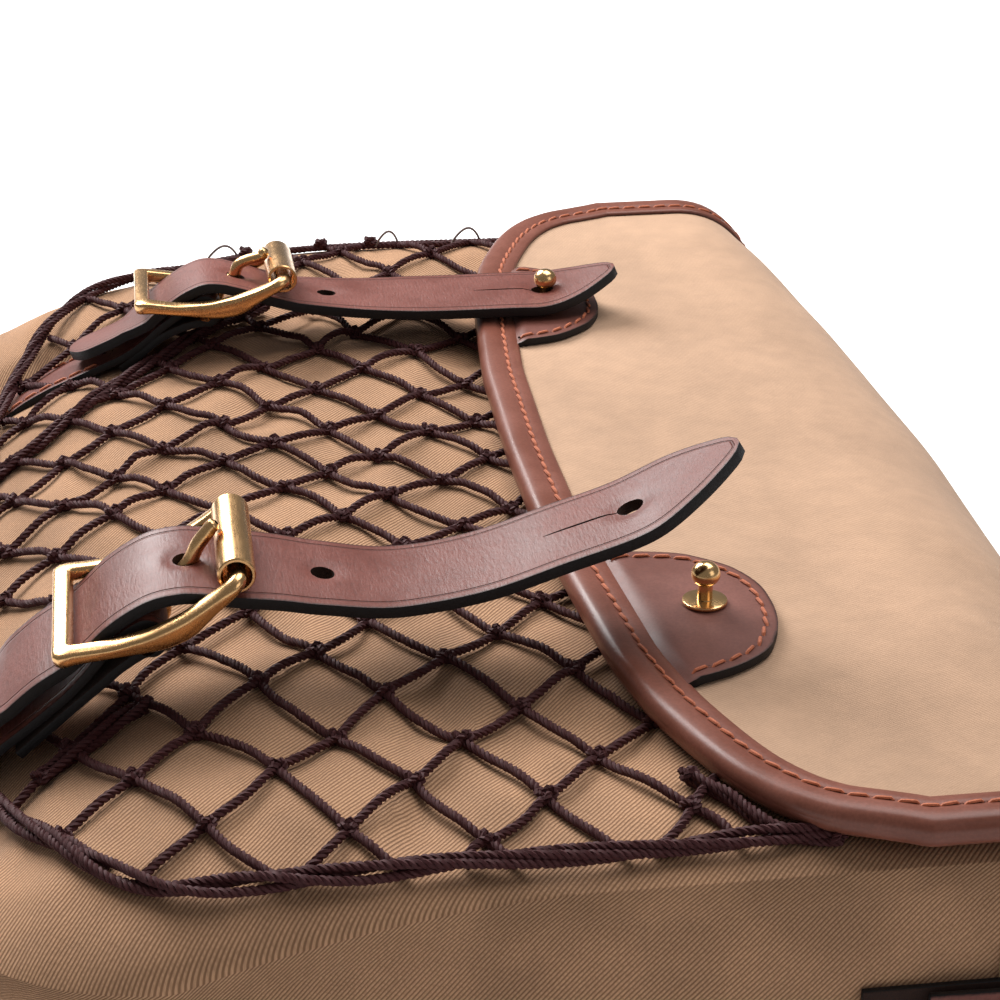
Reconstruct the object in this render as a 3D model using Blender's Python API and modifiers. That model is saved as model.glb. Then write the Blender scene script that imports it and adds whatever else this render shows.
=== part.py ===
"""A hunting game bag of canvas, leather, brass and net, lying on its back.

X runs from the bag's bottom (-X) to the fold of its flap (+X), Y across its width, and Z up
from the back panel to the front. Sizes are in millimetres here and metres in the scene.
"""

import math

import bmesh
import bpy
from mathutils import Vector

MM = 0.001
GAP = 0.3

# Body: a hollow pouch, open at the mouth.
HALF_WIDTH = 205.0
BOTTOM_X = -146.0
MOUTH_X = 100.0
CORNER_RADIUS = 62.0
BOTTOM_HEIGHT = 45.0
CORNER_PUFF = 12.0
PUFF_START = 128.0
PUFF_WIDTH = 50.0
FRONT_RISE = 32.0
FRONT_CROWN = 2.0
RISE_LENGTH = 90.0
SHOULDER_DROP = 6.5
SHOULDER_POWER = 30
WALL = 2.2
BACK_RADIUS = 10.0
SIDE_BULGE = 2.0
END_RINGS = ((-1.5, 12.0), (-0.5, 5.0), (1.0, 1.5))  # x from the bottom, inset

# Flap: a sheet from the back panel's top edge, round the fold and over the front.
FLAP_THICK = 2.2
FLAP_TOP = 84.9
FLAP_HALF = 205.0
FLAP_SIDE_DROP = 1.2
FOLD_REACH = 48.0
FOLD_TAPER = 0.38
FOLD_POWER = 2.3
FOLD_ROWS = 10
TOP_ROWS = 3
FLAP_ROWS = FOLD_ROWS + TOP_ROWS
FLAP_COLUMNS = 24
FLAP_EDGE = (  # x of the binding's outer edge, distance from the middle
    (14.2, 0.0), (15.2, 57.0), (18.0, 92.0), (21.2, 127.0), (26.0, 150.0), (31.0, 165.0),
    (36.0, 178.0), (42.0, 189.0), (51.0, 199.0), (63.0, 205.5), (80.0, 208.2),
)
EDGE_HALF = 208.2

# Binding: a rolled strip with a slot for the flap's edge.
BINDING_ROLL = 3.2
BINDING_LIP = 9.0
BINDING_HALF = 3.0
SLOT_HALF = FLAP_THICK / 2 + 0.35

# Stud tabs and ball studs.
TAB_THICK = 2.2
TAB_REACH = 30.0
TAB_HALF = 34.0
TAB_BEHIND_STUD = 14.0
STUD_PROFILE = (  # radius, height
    (0.0, 11.0), (1.9, 10.6), (3.2, 9.3), (3.6, 7.6), (3.1, 5.7), (1.9, 4.5), (1.7, 1.9),
    (3.0, 1.3), (5.5, 1.0), (5.5, 0.0), (0.0, 0.0),
)

# Fastening straps, lower straps and buckles.
STRAP_HALF = 16.0
STRAP_THICK = 2.9
CHAPE_HALF = 15.5
CHAPE_THICK = 2.4
POINT_LENGTH = 20.0
TAIL_LENGTH = 7.0
FRAME_LENGTH = 43.5
FRAME_HALF = 19.0
FRAME_WIRE = 2.4
FRAME_BOW = 6.5
FRAME_CORNER = 3.0
CORNER_CUT = 0.9
BAR_AT = 0.42
ROLLER_RADIUS = 4.45
ROLLER_BORE = 2.8
ROLLER_HALF = 15.8
PRONG_WIRE = 1.4
PRONG_SLOT = 4.2
LOOP_TURNS = (-105, -60, -15, 30, 75, 115)  # degrees round the centre bar
EYE_TURNS = (150, 195, 240, 285, 330, 15)
PRONG_TIP_TURNS = (125, 95, 68)  # degrees round the roller
STUD_HOLE = 4.1
PUNCH_HOLE = 3.0
SLIT_LENGTH = 17.0
SLIT_WIDTH = 1.4

# Net, its border rope and its lacing.
TWINE = 1.8
NET_LIFT = GAP + TWINE / 2
NET_SLACK = 1.0
MESH_LONG = 34.0
MESH_WIDE = 40.0
NET_ROWS = 11
NET_COLUMNS = 10
NET_MARGIN = 0.6
NET_TOP_X = 50.0
ROPE_RADIUS = 2.2
ROPE_LIFT = 2.9
ROPE_SLACK = 0.6
CORNER_END = -60.0
BORDER = (  # x, distance from the middle
    (-134.0, 0.0), (-133.0, 60.0), (-129.0, 108.0), (-123.0, 134.0), (-112.0, 160.0),
    (-90.0, 187.0), (-63.0, 195.0), (-30.0, 198.0), (10.0, 198.0), (47.0, 196.5),
)
BORDER_INSET = 4.0
LACING_RADIUS = 1.5
LACING = (  # x, y, z
    (-88.0, -66.0, 79.8), (-97.0, -67.0, 77.2), (-107.0, -69.0, 73.8), (-118.0, -72.0, 69.9),
    (-127.0, -74.0, 66.8), (-134.0, -75.0, 62.6), (-141.0, -75.5, 56.8), (-146.7, -76.0, 50.2),
    (-149.4, -76.5, 41.0), (-149.3, -77.0, 28.0),
)

# Sling tabs and rings at the gusset tops.
SLING_HEIGHT = 34.0
SLING_HALF = 12.0
SLING_THICK = 1.8
SLING_START = 62.0
RING_BAR_X = 113.0
RING_WIRE = 2.0
RING_LENGTH = 24.0
RING_HALF = 16.0
WALL_Y = HALF_WIDTH + SIDE_BULGE

# One row for each fastening: where its buckle's lower bar sits, and how it lies.
SIDES = {
    "near": dict(bar=(-105.6, -105.0, 96.5), tilt=21.4, lean=0.0, roll=4.0, stud=(48.0, -105.0)),
    "far": dict(bar=(-83.5, 118.5, 94.4), tilt=9.7, lean=-5.9, roll=-5.0, stud=(41.7, 105.8)),
}
STRAP_PATHS = {  # x along the strap from the lower bar, height above the bar
    "near": (
        (-25.0, -26.0), (-15.4, -17.0), (-7.0, -10.0), (0.0, -5.6), (5.0, -1.5), (12.0, 5.0),
        (20.0, 9.8), (27.0, 11.3), (33.0, 10.9), (40.5, 9.5), (50.0, 8.0), (61.0, 5.7),
        (78.0, 3.5), (98.0, 6.0), (117.0, 12.0), (135.0, 18.0), (148.0, 25.5), (161.0, 33.5),
    ),
    "far": (
        (-23.0, -15.5), (-14.0, -11.5), (-7.0, -8.2), (0.0, -5.4), (5.0, -2.2), (12.0, 3.6),
        (20.0, 6.0), (27.0, 5.6), (33.0, 3.8), (42.9, 0.8), (52.0, -1.2), (70.0, -3.2),
        (92.0, -3.2), (112.0, -2.6), (124.3, -2.2), (135.0, 0.4), (147.0, 5.2),
    ),
}
CHAPE_RETURN = {
    "near": ((-5.0, -17.0), (5.0, -10.0), (13.0, -5.2)),
    "far": ((-7.0, -15.2), (4.0, -10.6), (13.0, -7.6)),
}
CHAPE_RUN = {
    "near": (
        (12.0, 0.4), (5.0, -6.1), (0.0, -10.0), (-7.0, -14.4), (-15.4, -21.6), (-24.0, -30.0),
        (-31.0, -37.0), (-37.0, -41.5), (-41.8, -45.0), (-43.4, -52.0), (-43.4, -62.0),
        (-43.4, -72.0),
    ),
    "far": (
        (12.0, -3.0), (5.0, -6.3), (0.0, -9.0), (-7.0, -12.1), (-14.0, -15.6), (-22.0, -19.8),
        (-34.0, -24.2), (-46.0, -28.0), (-56.0, -34.0), (-63.0, -39.8), (-66.2, -46.0),
        (-67.0, -54.0), (-67.0, -62.0), (-67.0, -70.0),
    ),
}
PUNCHES = {"near": (29.0, 61.0), "far": (29.0, 57.0)}
STUD_HOLES = {"near": 135.0, "far": 124.3}

COLOURS = {  # colour, roughness, metallic
    "canvas": ((0.55, 0.36, 0.19), 0.9, 0.0),
    "leather": ((0.16, 0.05, 0.03), 0.5, 0.0),
    "brass": ((0.80, 0.56, 0.25), 0.25, 1.0),
    "twine": ((0.06, 0.02, 0.02), 0.8, 0.0),
    "cord": ((0.72, 0.60, 0.50), 0.7, 0.0),
}


def clear_scene():
    """Remove the start-up objects."""
    for obj in list(bpy.data.objects):
        bpy.data.objects.remove(obj, do_unlink=True)


def make_collection(name):
    """Make a collection in the scene."""
    collection = bpy.data.collections.new(name)
    bpy.context.scene.collection.children.link(collection)
    return collection


def make_material(node, kind):
    """Give each node its own Principled material."""
    colour, roughness, metallic = COLOURS[kind]
    material = bpy.data.materials.new(node)
    material.use_nodes = True
    shader = material.node_tree.nodes["Principled BSDF"]
    shader.inputs["Base Color"].default_value = (*colour, 1.0)
    shader.inputs["Roughness"].default_value = roughness
    shader.inputs["Metallic"].default_value = metallic
    return material


def add_part(name, mesh, kind):
    """Link a mesh as one named part."""
    obj = bpy.data.objects.new(name, mesh)
    mesh.materials.clear()
    mesh.materials.append(make_material(name, kind))
    mesh.shade_smooth()
    mesh.set_sharp_from_angle(angle=math.radians(40))
    PARTS.objects.link(obj)
    return obj


def add_cutter(name, bm):
    """Link a bmesh as a hidden cutter or an operand of a union."""
    mesh = bpy.data.meshes.new(name)
    bm.to_mesh(mesh)
    bm.free()
    obj = bpy.data.objects.new(name, mesh)
    obj.hide_render = True
    obj.display_type = "WIRE"
    CUTTERS.objects.link(obj)
    return obj


def solidify(obj, thickness, offset=0.0):
    """Give a sheet its thickness."""
    modifier = obj.modifiers.new("Wall", "SOLIDIFY")
    modifier.thickness = thickness * MM
    modifier.offset = offset
    modifier.use_even_offset = True
    return modifier


def boolean(obj, other, operation="DIFFERENCE"):
    """Cut or join a part with another object."""
    modifier = obj.modifiers.new(other.name, "BOOLEAN")
    modifier.operation = operation
    modifier.solver = "EXACT"
    modifier.object = other
    return modifier


def smooth_path(points, steps):
    """Read a smooth curve through the points, with a number of steps between each two."""
    points = [Vector(p) for p in points]
    ends = [2 * points[0] - points[1]] + points + [2 * points[-1] - points[-2]]
    path = []
    for a, b, c, d in zip(ends, ends[1:], ends[2:], ends[3:]):
        for k in range(steps):
            t = k / steps
            path.append(
                0.5 * (2 * b + (c - a) * t + (2 * a - 5 * b + 4 * c - d) * t * t
                       + (3 * b - a - 3 * c + d) * t ** 3)
            )
    return path + [points[-1]]


def read_table(rows, column, value):
    """Read the other column of a two-column table by straight steps."""
    other = 1 - column
    rows = sorted(rows, key=lambda row: row[column])
    value = min(max(value, rows[0][column]), rows[-1][column])
    for low, high in zip(rows, rows[1:]):
        if value <= high[column]:
            share = (value - low[column]) / (high[column] - low[column])
            return low[other] + share * (high[other] - low[other])
    return rows[-1][other]


def grid_mesh(name, columns, rows, place, wrap=False, cap_row=None):
    """Shape a grid by a function of u and v from 0 to 1, and close what the form closes."""
    bm = bmesh.new()
    bmesh.ops.create_grid(bm, x_segments=columns, y_segments=rows, size=0.5)
    ends = []
    for vert in bm.verts:
        u, v = vert.co.x + 0.5, vert.co.y + 0.5
        vert.co = Vector(place(u, v)) * MM
        if cap_row is not None and abs(v - cap_row) < 1e-4:
            ends.append(vert)
    if cap_row is not None:
        edges = [e for e in bm.edges if all(v in set(ends) for v in e.verts)]
    if wrap:
        bmesh.ops.remove_doubles(bm, verts=bm.verts, dist=0.01 * MM)
    if cap_row is not None:
        edges = [e for e in edges if e.is_valid]
        bmesh.ops.holes_fill(bm, edges=edges, sides=0)
    bmesh.ops.recalc_face_normals(bm, faces=bm.faces)
    mesh = bpy.data.meshes.new(name)
    bm.to_mesh(mesh)
    bm.free()
    return mesh


def tube(name, points, radius, cyclic=False):
    """Make a wire or rope as a curve with a round section, and weld it into a mesh."""
    curve = bpy.data.curves.new(name, "CURVE")
    curve.dimensions = "3D"
    curve.bevel_depth = radius * MM
    curve.bevel_resolution = 2
    curve.use_fill_caps = not cyclic
    spline = curve.splines.new("POLY")
    spline.points.add(len(points) - 1)
    for target, point in zip(spline.points, points):
        target.co = (*(Vector(point) * MM), 1.0)
    spline.use_cyclic_u = cyclic
    guide = bpy.data.objects.new(name + "_guide", curve)
    bpy.context.scene.collection.objects.link(guide)
    graph = bpy.context.evaluated_depsgraph_get()
    mesh = bpy.data.meshes.new_from_object(guide.evaluated_get(graph))
    bpy.data.objects.remove(guide, do_unlink=True)
    bpy.data.curves.remove(curve)
    bm = bmesh.new()
    bm.from_mesh(mesh)
    bmesh.ops.remove_doubles(bm, verts=bm.verts, dist=0.01 * MM)
    bmesh.ops.recalc_face_normals(bm, faces=bm.faces)
    bm.to_mesh(mesh)
    bm.free()
    return mesh


def bottom_edge(y):
    """Give the body outline's x at a distance y from the middle."""
    past = max(abs(y) - (HALF_WIDTH - CORNER_RADIUS), 0.0)
    return BOTTOM_X + CORNER_RADIUS - math.sqrt(max(CORNER_RADIUS ** 2 - past ** 2, 0.0))


def half_width(x):
    """Give the body's half width at x, smaller round the bottom corners."""
    short = max(BOTTOM_X + CORNER_RADIUS - x, 0.0)
    short = min(short, CORNER_RADIUS)
    return HALF_WIDTH - CORNER_RADIUS + math.sqrt(CORNER_RADIUS ** 2 - short ** 2)


def front_height(x, y):
    """Give the height of the body's front panel."""
    along = min(max((x - bottom_edge(y)) / RISE_LENGTH, 0.0), 1.0)
    rise = (1 - (1 - along) ** 1.8) ** 0.95
    past = min(max((abs(y) - PUFF_START) / PUFF_WIDTH, 0.0), 1.0)
    puff = CORNER_PUFF * past ** 2 * (3 - 2 * past) * (1 - rise)
    across = min(abs(y) / HALF_WIDTH, 1.0)
    edge = min(abs(y) / half_width(x), 1.0) ** SHOULDER_POWER
    crown = FRONT_CROWN * (1 - across ** 4)
    return BOTTOM_HEIGHT + puff + FRONT_RISE * rise + crown - SHOULDER_DROP * edge * rise


def body_ring(x, inset):
    """List one section of the body, from the +Y shoulder over the front and round the back."""
    half = half_width(max(x, BOTTOM_X + 1.0)) - inset
    ring = []
    front_steps, side_steps, back_steps = 14, 3, 5
    for k in range(front_steps + 1):
        y = half * math.sin(math.pi / 2 * (1 - 2 * k / front_steps))
        ring.append((x, y, front_height(max(x, BOTTOM_X), y) - inset))
    top = ring[-1][2]
    for k in range(1, side_steps + 1):
        share = k / side_steps
        z = top + (BACK_RADIUS + inset - top) * share
        bulge = SIDE_BULGE * math.sin(math.pi * share) if inset < 1 else 0.0
        ring.append((x, -half - bulge, z))
    corner = half - BACK_RADIUS
    for k in (1, 2):
        turn = math.pi / 2 * k / 2
        ring.append((x, -corner - BACK_RADIUS * math.cos(turn),
                     inset + BACK_RADIUS * (1 - math.sin(turn))))
    for k in range(1, back_steps):
        ring.append((x, corner * (2 * k / back_steps - 1), inset))
    mirrored = [(p[0], -p[1], p[2]) for p in reversed(ring[front_steps:front_steps + side_steps + 3])]
    return ring + mirrored


def make_body():
    """Make the hollow pouch: rings along X, a closed bottom and an open mouth."""
    rings = [body_ring(BOTTOM_X + x, inset) for x, inset in END_RINGS]
    corner_steps, straight_steps = 6, 7
    for k in range(1, corner_steps + 1):
        turn = math.pi / 2 * k / corner_steps
        rings.append(body_ring(BOTTOM_X + CORNER_RADIUS * (1 - math.cos(turn)) + 2.0, 0.0))
    start = BOTTOM_X + CORNER_RADIUS + 2.0
    for k in range(1, straight_steps + 1):
        rings.append(body_ring(start + (MOUTH_X - start) * k / straight_steps, 0.0))
    count = len(rings[0]) - 1

    def place(u, v):
        return rings[round(v * (len(rings) - 1))][round(u * count)]

    mesh = grid_mesh("body", count, len(rings) - 1, place, wrap=True, cap_row=0.0)
    solidify(add_part("body", mesh, "canvas"), WALL, -1.0)


def flap_edge_x(y):
    """Give the x of the binding's outer edge at a distance y from the middle."""
    return read_table(FLAP_EDGE, 1, abs(y) * EDGE_HALF / FLAP_HALF)


def flap_point(y, v):
    """Give a point of the flap's middle surface: v runs from the back, over the fold, to the edge."""
    fold_share = FOLD_ROWS / FLAP_ROWS
    top = FLAP_TOP - FLAP_SIDE_DROP * (y / FLAP_HALF) ** 4
    low = FLAP_THICK / 2
    if v < fold_share:
        turn = math.pi * (v / fold_share - 0.5)
        reach = abs(math.cos(turn)) ** (2 / FOLD_POWER)
        rise = math.copysign(abs(math.sin(turn)) ** (2 / FOLD_POWER), turn)
        taper = 1 - FOLD_TAPER * (y / FLAP_HALF) ** 2
        x = MOUTH_X + GAP + FOLD_REACH * taper * reach
        return Vector((x, y, (top + low) / 2 + (top - low) / 2 * rise))
    share = (v - fold_share) / (1 - fold_share)
    start, end = MOUTH_X + GAP, flap_edge_x(y) + BINDING_ROLL
    return Vector((start + (end - start) * share, y, top))


def make_flap():
    """Make the canvas flap as one sheet."""
    def place(u, v):
        return flap_point(FLAP_HALF * math.sin(math.pi / 2 * (2 * u - 1)), v)

    mesh = grid_mesh("flap", FLAP_COLUMNS, FLAP_ROWS, place)
    solidify(add_part("flap", mesh, "canvas"), FLAP_THICK)


def make_binding():
    """Sweep the binding's slotted section along the flap's free edge."""
    low, high, inner = -BINDING_LIP, BINDING_HALF, SLOT_HALF
    section = (
        (low, high * 0.8), (-3.0, high), (1.4, high), (BINDING_ROLL, 1.1), (BINDING_ROLL, -1.1),
        (1.4, -high), (-3.0, -high), (low, -high * 0.8), (low, -inner), (0.5, -inner),
        (0.5, inner), (low, inner),
    )
    side = [(-FLAP_HALF, k / FLAP_ROWS) for k in range(1, FLAP_ROWS)]
    front = [(FLAP_HALF * math.sin(math.pi / 2 * (2 * k / FLAP_COLUMNS - 1)), 1.0)
             for k in range(FLAP_COLUMNS + 1)]
    stations = side + front + [(-y, v) for y, v in reversed(side)]
    points = [flap_point(y, v) for y, v in stations]
    normals = []
    step = 0.01
    for y, v in stations:
        along = flap_point(y, min(v + step, 1.0)) - flap_point(y, max(v - step, 0.0))
        across = flap_point(y + step, v) - flap_point(y - step, v)
        normals.append(along.cross(across).normalized())
    rings = []
    for k, (point, normal) in enumerate(zip(points, normals)):
        before, after = points[max(k - 1, 0)], points[min(k + 1, len(points) - 1)]
        tangent = (after - before).normalized()
        outward = tangent.cross(normal).normalized()
        if outward.dot(Vector((-1.0, point.y / 100, 0.0))) < 0:
            outward.negate()
        ring = [point + outward * b + normal * n for b, n in section]
        rings.append([Vector((p.x, p.y, max(p.z, 0.1))) for p in ring])
    mesh = loft("flap_binding", rings)
    add_part("flap_binding", mesh, "leather")


def loft(name, rings):
    """Join closed sections of the same count with faces, and cap both ends."""
    bm = bmesh.new()
    loops = []
    for ring in rings:
        verts = [bm.verts.new(Vector(p) * MM) for p in ring]
        loops.append([bm.edges.new((a, b)) for a, b in zip(verts, verts[1:] + verts[:1])])
    for low, high in zip(loops, loops[1:]):
        bmesh.ops.bridge_loops(bm, edges=low + high)
    for loop in (loops[0], loops[-1]):
        bmesh.ops.contextual_create(bm, geom=loop)
    bmesh.ops.recalc_face_normals(bm, faces=bm.faces)
    mesh = bpy.data.meshes.new(name)
    bm.to_mesh(mesh)
    bm.free()
    return mesh


def tab_top():
    """Give the height of the stud tabs' upper face."""
    return FLAP_TOP + FLAP_THICK / 2 + GAP + TAB_THICK


def make_stud_tab(side, row):
    """Make the half-round tab that butts against the binding's lip."""
    stud_x, stud_y = row["stud"]
    centre = stud_x - TAB_BEHIND_STUD
    span = TAB_HALF - 1.2

    def place(u, v):
        off = span * math.sin(math.pi / 2 * (2 * u - 1))
        y = stud_y + off
        start = flap_edge_x(y) + BINDING_ROLL + BINDING_LIP + 1.0
        end = max(centre + TAB_REACH * math.sqrt(1 - (off / TAB_HALF) ** 2), start + TAB_THICK)
        return start + (end - start) * v, y, tab_top() - TAB_THICK / 2

    name = "stud_tab_" + side
    solidify(add_part(name, grid_mesh(name, 12, 3, place), "leather"), TAB_THICK)


def make_stud(side, row):
    """Turn a ball stud about its own axis, seated on its tab."""
    name = "stud_" + side
    bm = bmesh.new()
    verts = [bm.verts.new((r * MM, 0, z * MM)) for r, z in STUD_PROFILE]
    for a, b in zip(verts, verts[1:]):
        bm.edges.new((a, b))
    mesh = bpy.data.meshes.new(name)
    bm.to_mesh(mesh)
    bm.free()
    obj = add_part(name, mesh, "brass")
    obj.location = Vector((*row["stud"], tab_top() + GAP)) * MM
    turn = obj.modifiers.new("Turn", "SCREW")
    turn.steps = turn.render_steps = 14
    turn.use_merge_vertices = True
    turn.merge_threshold = 0.00005
    return obj


def fastening_place(row, x, y, z):
    """Put a point of a fastening's own frame in the bag's frame, with its lean and roll."""
    bar = Vector(row["bar"])
    lean = math.tan(math.radians(row["lean"])) * max(x, -30.0)
    window = min(max(1 - (x - 45.0) / 40.0, 0.0), 1.0) * min(max((x + 40.0) / 30.0, 0.0), 1.0)
    roll = math.tan(math.radians(row["roll"])) * window
    return Vector((bar.x + x, bar.y + y + lean, bar.z + z + roll * y))


def frame_place(row, u, v, w):
    """Put a point of the tilted buckle: u along it, v across it, w out of it."""
    tilt = math.radians(row["tilt"])
    x = u * math.cos(tilt) - w * math.sin(tilt)
    z = u * math.sin(tilt) + w * math.cos(tilt)
    return fastening_place(row, x, v, z)


def frame_sag(u):
    """Give how far the frame's side bars dip between the lower bar and the roller."""
    return -FRAME_BOW * math.sin(math.pi * min(max(u / FRAME_LENGTH, 0.0), 1.0))


def bar_centre(row):
    """Give the centre bar's x and z in the fastening's own frame."""
    tilt = math.radians(row["tilt"])
    u, w = BAR_AT * FRAME_LENGTH, frame_sag(BAR_AT * FRAME_LENGTH)
    return u * math.cos(tilt) - w * math.sin(tilt), u * math.sin(tilt) + w * math.cos(tilt)


def strip(name, row, path, half, thick, kind, shape):
    """Make a strap: a strip along a path of x and z, with a width that shape scales."""
    distances = [0.0]
    for a, b in zip(path, path[1:]):
        distances.append(distances[-1] + (b - a).length)
    count = len(path) - 1

    def place(u, v):
        k = round(u * count)
        width = half * shape(distances[k], distances[-1])
        return fastening_place(row, path[k].x, (2 * v - 1) * width, path[k].y)

    obj = add_part(name, grid_mesh(name, count, 2, place), kind)
    solidify(obj, thick)
    return obj


def strap_shape(distance, total):
    """Narrow a strap to its rounded tail and its point."""
    tail = min(distance / TAIL_LENGTH, 1.0)
    point = min((total - distance) / POINT_LENGTH, 1.0)
    return max(math.sqrt(1 - (1 - tail) ** 2), 0.45) * max(1 - (1 - point) ** 1.7, 0.08)


def path_slope(path, x):
    """Find the point and the direction of a path at x."""
    for a, b in zip(path, path[1:]):
        if a.x <= x <= b.x:
            return a.lerp(b, (x - a.x) / (b.x - a.x)), (b - a).normalized()
    return path[-1], Vector((1.0, 0.0))


def punch(strap, row, path, x, radius, name):
    """Cut a round hole square through a strap."""
    point, along = path_slope(path, x)
    bm = bmesh.new()
    bmesh.ops.create_cone(bm, cap_ends=True, segments=12, radius1=radius * MM,
                          radius2=radius * MM, depth=4 * STRAP_THICK * MM)
    cutter = add_cutter(name, bm)
    cutter.location = fastening_place(row, point.x, 0.0, point.y) * MM
    cutter.rotation_euler = (0.0, -math.atan2(along.y, along.x), 0.0)
    boolean(strap, cutter)


def cut_slit(strap, row, path, x):
    """Cut the slit that runs back from the stud hole."""
    point, along = path_slope(path, x - SLIT_LENGTH / 2)
    bm = bmesh.new()
    bmesh.ops.create_cube(bm, size=MM)
    for vert in bm.verts:
        vert.co.x *= SLIT_LENGTH
        vert.co.y *= SLIT_WIDTH
        vert.co.z *= 4 * STRAP_THICK
    cutter = add_cutter(strap.name + "_slit", bm)
    cutter.location = fastening_place(row, point.x, 0.0, point.y) * MM
    cutter.rotation_euler = (0.0, -math.atan2(along.y, along.x), 0.0)
    boolean(strap, cutter)


def make_strap(side, row):
    """Make a fastening strap with its stud hole, slit and punched holes."""
    path = smooth_path([(x, z) for x, z in STRAP_PATHS[side]], 2)
    strap = strip("strap_" + side, row, path, STRAP_HALF, STRAP_THICK, "leather", strap_shape)
    for k, x in enumerate(PUNCHES[side]):
        punch(strap, row, path, x, PUNCH_HOLE, f"strap_{side}_hole_{k}")
    hole = STUD_HOLES[side]
    punch(strap, row, path, hole, STUD_HOLE, f"strap_{side}_stud_hole")
    cut_slit(strap, row, path, hole)


def make_buckle_strap(side, row):
    """Make the lower strap, looped round the centre bar, with a slot for the prong's eye."""
    x, z = bar_centre(row)
    reach = FRAME_WIRE + GAP + CHAPE_THICK / 2
    loop = [(x + reach * math.cos(math.radians(a)), z + reach * math.sin(math.radians(a)))
            for a in LOOP_TURNS]
    path = [Vector(p) for p in CHAPE_RETURN[side] + tuple(loop) + CHAPE_RUN[side]]
    name = "buckle_strap_" + side
    strap = strip(name, row, path, CHAPE_HALF, CHAPE_THICK, "leather", lambda d, t: 1.0)
    bm = bmesh.new()
    bmesh.ops.create_cube(bm, size=MM)
    for vert in bm.verts:
        vert.co.x *= 4 * reach
        vert.co.y *= 2 * PRONG_SLOT
        vert.co.z *= 4 * reach
    cutter = add_cutter(name + "_slot", bm)
    cutter.location = fastening_place(row, x + 0.6 * reach, 0.0, z) * MM
    boolean(strap, cutter)


def make_frame(side, row):
    """Make the buckle frame: a bowed ring with the centre bar joined in."""
    name = "buckle_frame_" + side
    corner = [(0.0, -FRAME_HALF + FRAME_CORNER), (CORNER_CUT, -FRAME_HALF + CORNER_CUT),
              (FRAME_CORNER, -FRAME_HALF)]
    straight, steps = FRAME_LENGTH - 2 * FRAME_CORNER, 6
    ring = corner + [(FRAME_CORNER + straight * k / steps, -FRAME_HALF) for k in range(1, steps)]
    ring += [(FRAME_LENGTH - u, v) for u, v in reversed(corner)]
    ring += [(u, -v) for u, v in reversed(ring)]
    points = [frame_place(row, u, v, frame_sag(u)) for u, v in ring]
    frame = add_part(name, tube(name, points, FRAME_WIRE, cyclic=True), "brass")
    u = BAR_AT * FRAME_LENGTH
    ends = [frame_place(row, u, v, frame_sag(u)) for v in (-FRAME_HALF, FRAME_HALF)]
    bm = bmesh.new()
    bm.from_mesh(tube(name + "_bar", ends, FRAME_WIRE * 0.92))
    boolean(frame, add_cutter(name + "_bar", bm), "UNION")


def make_roller(side, row):
    """Turn the roller round the frame's upper bar."""
    name = "roller_" + side
    turns = 16
    section = ((ROLLER_BORE, -ROLLER_HALF), (ROLLER_RADIUS, -ROLLER_HALF),
               (ROLLER_RADIUS, ROLLER_HALF), (ROLLER_BORE, ROLLER_HALF))

    def place(u, v):
        angle = 2 * math.pi * u
        radius, across = section[round(v * 4) % 4]
        return frame_place(row, FRAME_LENGTH + radius * math.cos(angle), across,
                           radius * math.sin(angle))

    add_part(name, grid_mesh(name, turns, 4, place, wrap=True), "brass")


def make_prong(side, row):
    """Make the prong: an eye round the centre bar, up through the strap and over the roller."""
    name = "prong_" + side
    x, z = bar_centre(row)
    reach = FRAME_WIRE + GAP + PRONG_WIRE
    path = [(x + reach * math.cos(math.radians(a)), z + reach * math.sin(math.radians(a)))
            for a in EYE_TURNS]
    tilt = math.radians(row["tilt"])
    top_x, top_z = FRAME_LENGTH * math.cos(tilt), FRAME_LENGTH * math.sin(tilt)
    over = ROLLER_RADIUS + GAP + PRONG_WIRE
    path.append((x + 6.5, z + 5.5))
    strap = smooth_path([(a, b) for a, b in STRAP_PATHS[side]], 2)
    hole, _ = path_slope(strap, PUNCHES[side][0])
    path.append((hole.x, hole.y))
    path.append((hole.x + 2.3, hole.y + 4.6))
    for angle in PRONG_TIP_TURNS:
        path.append((top_x + over * math.cos(math.radians(angle)),
                     top_z + over * math.sin(math.radians(angle))))
    points = [fastening_place(row, a, 0.0, b) for a, b in path]
    add_part(name, tube(name, points, PRONG_WIRE), "brass")


def border_y(x):
    """Give the border's distance from the middle at x."""
    return read_table(BORDER, 0, x)


def border_x(y):
    """Give the border's x at a distance y from the middle."""
    return read_table(BORDER[:8], 1, abs(y)) if abs(y) < BORDER[7][1] else BORDER[7][0]


def net_height(x, y):
    """Give the net's height, a little higher where the front curves under straight twine."""
    curved = max(-x, 0.0) / -BORDER[0][0] + (abs(y) / HALF_WIDTH) ** 12
    return front_height(x, y) + NET_LIFT + NET_SLACK * min(curved, 1.5)


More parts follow.
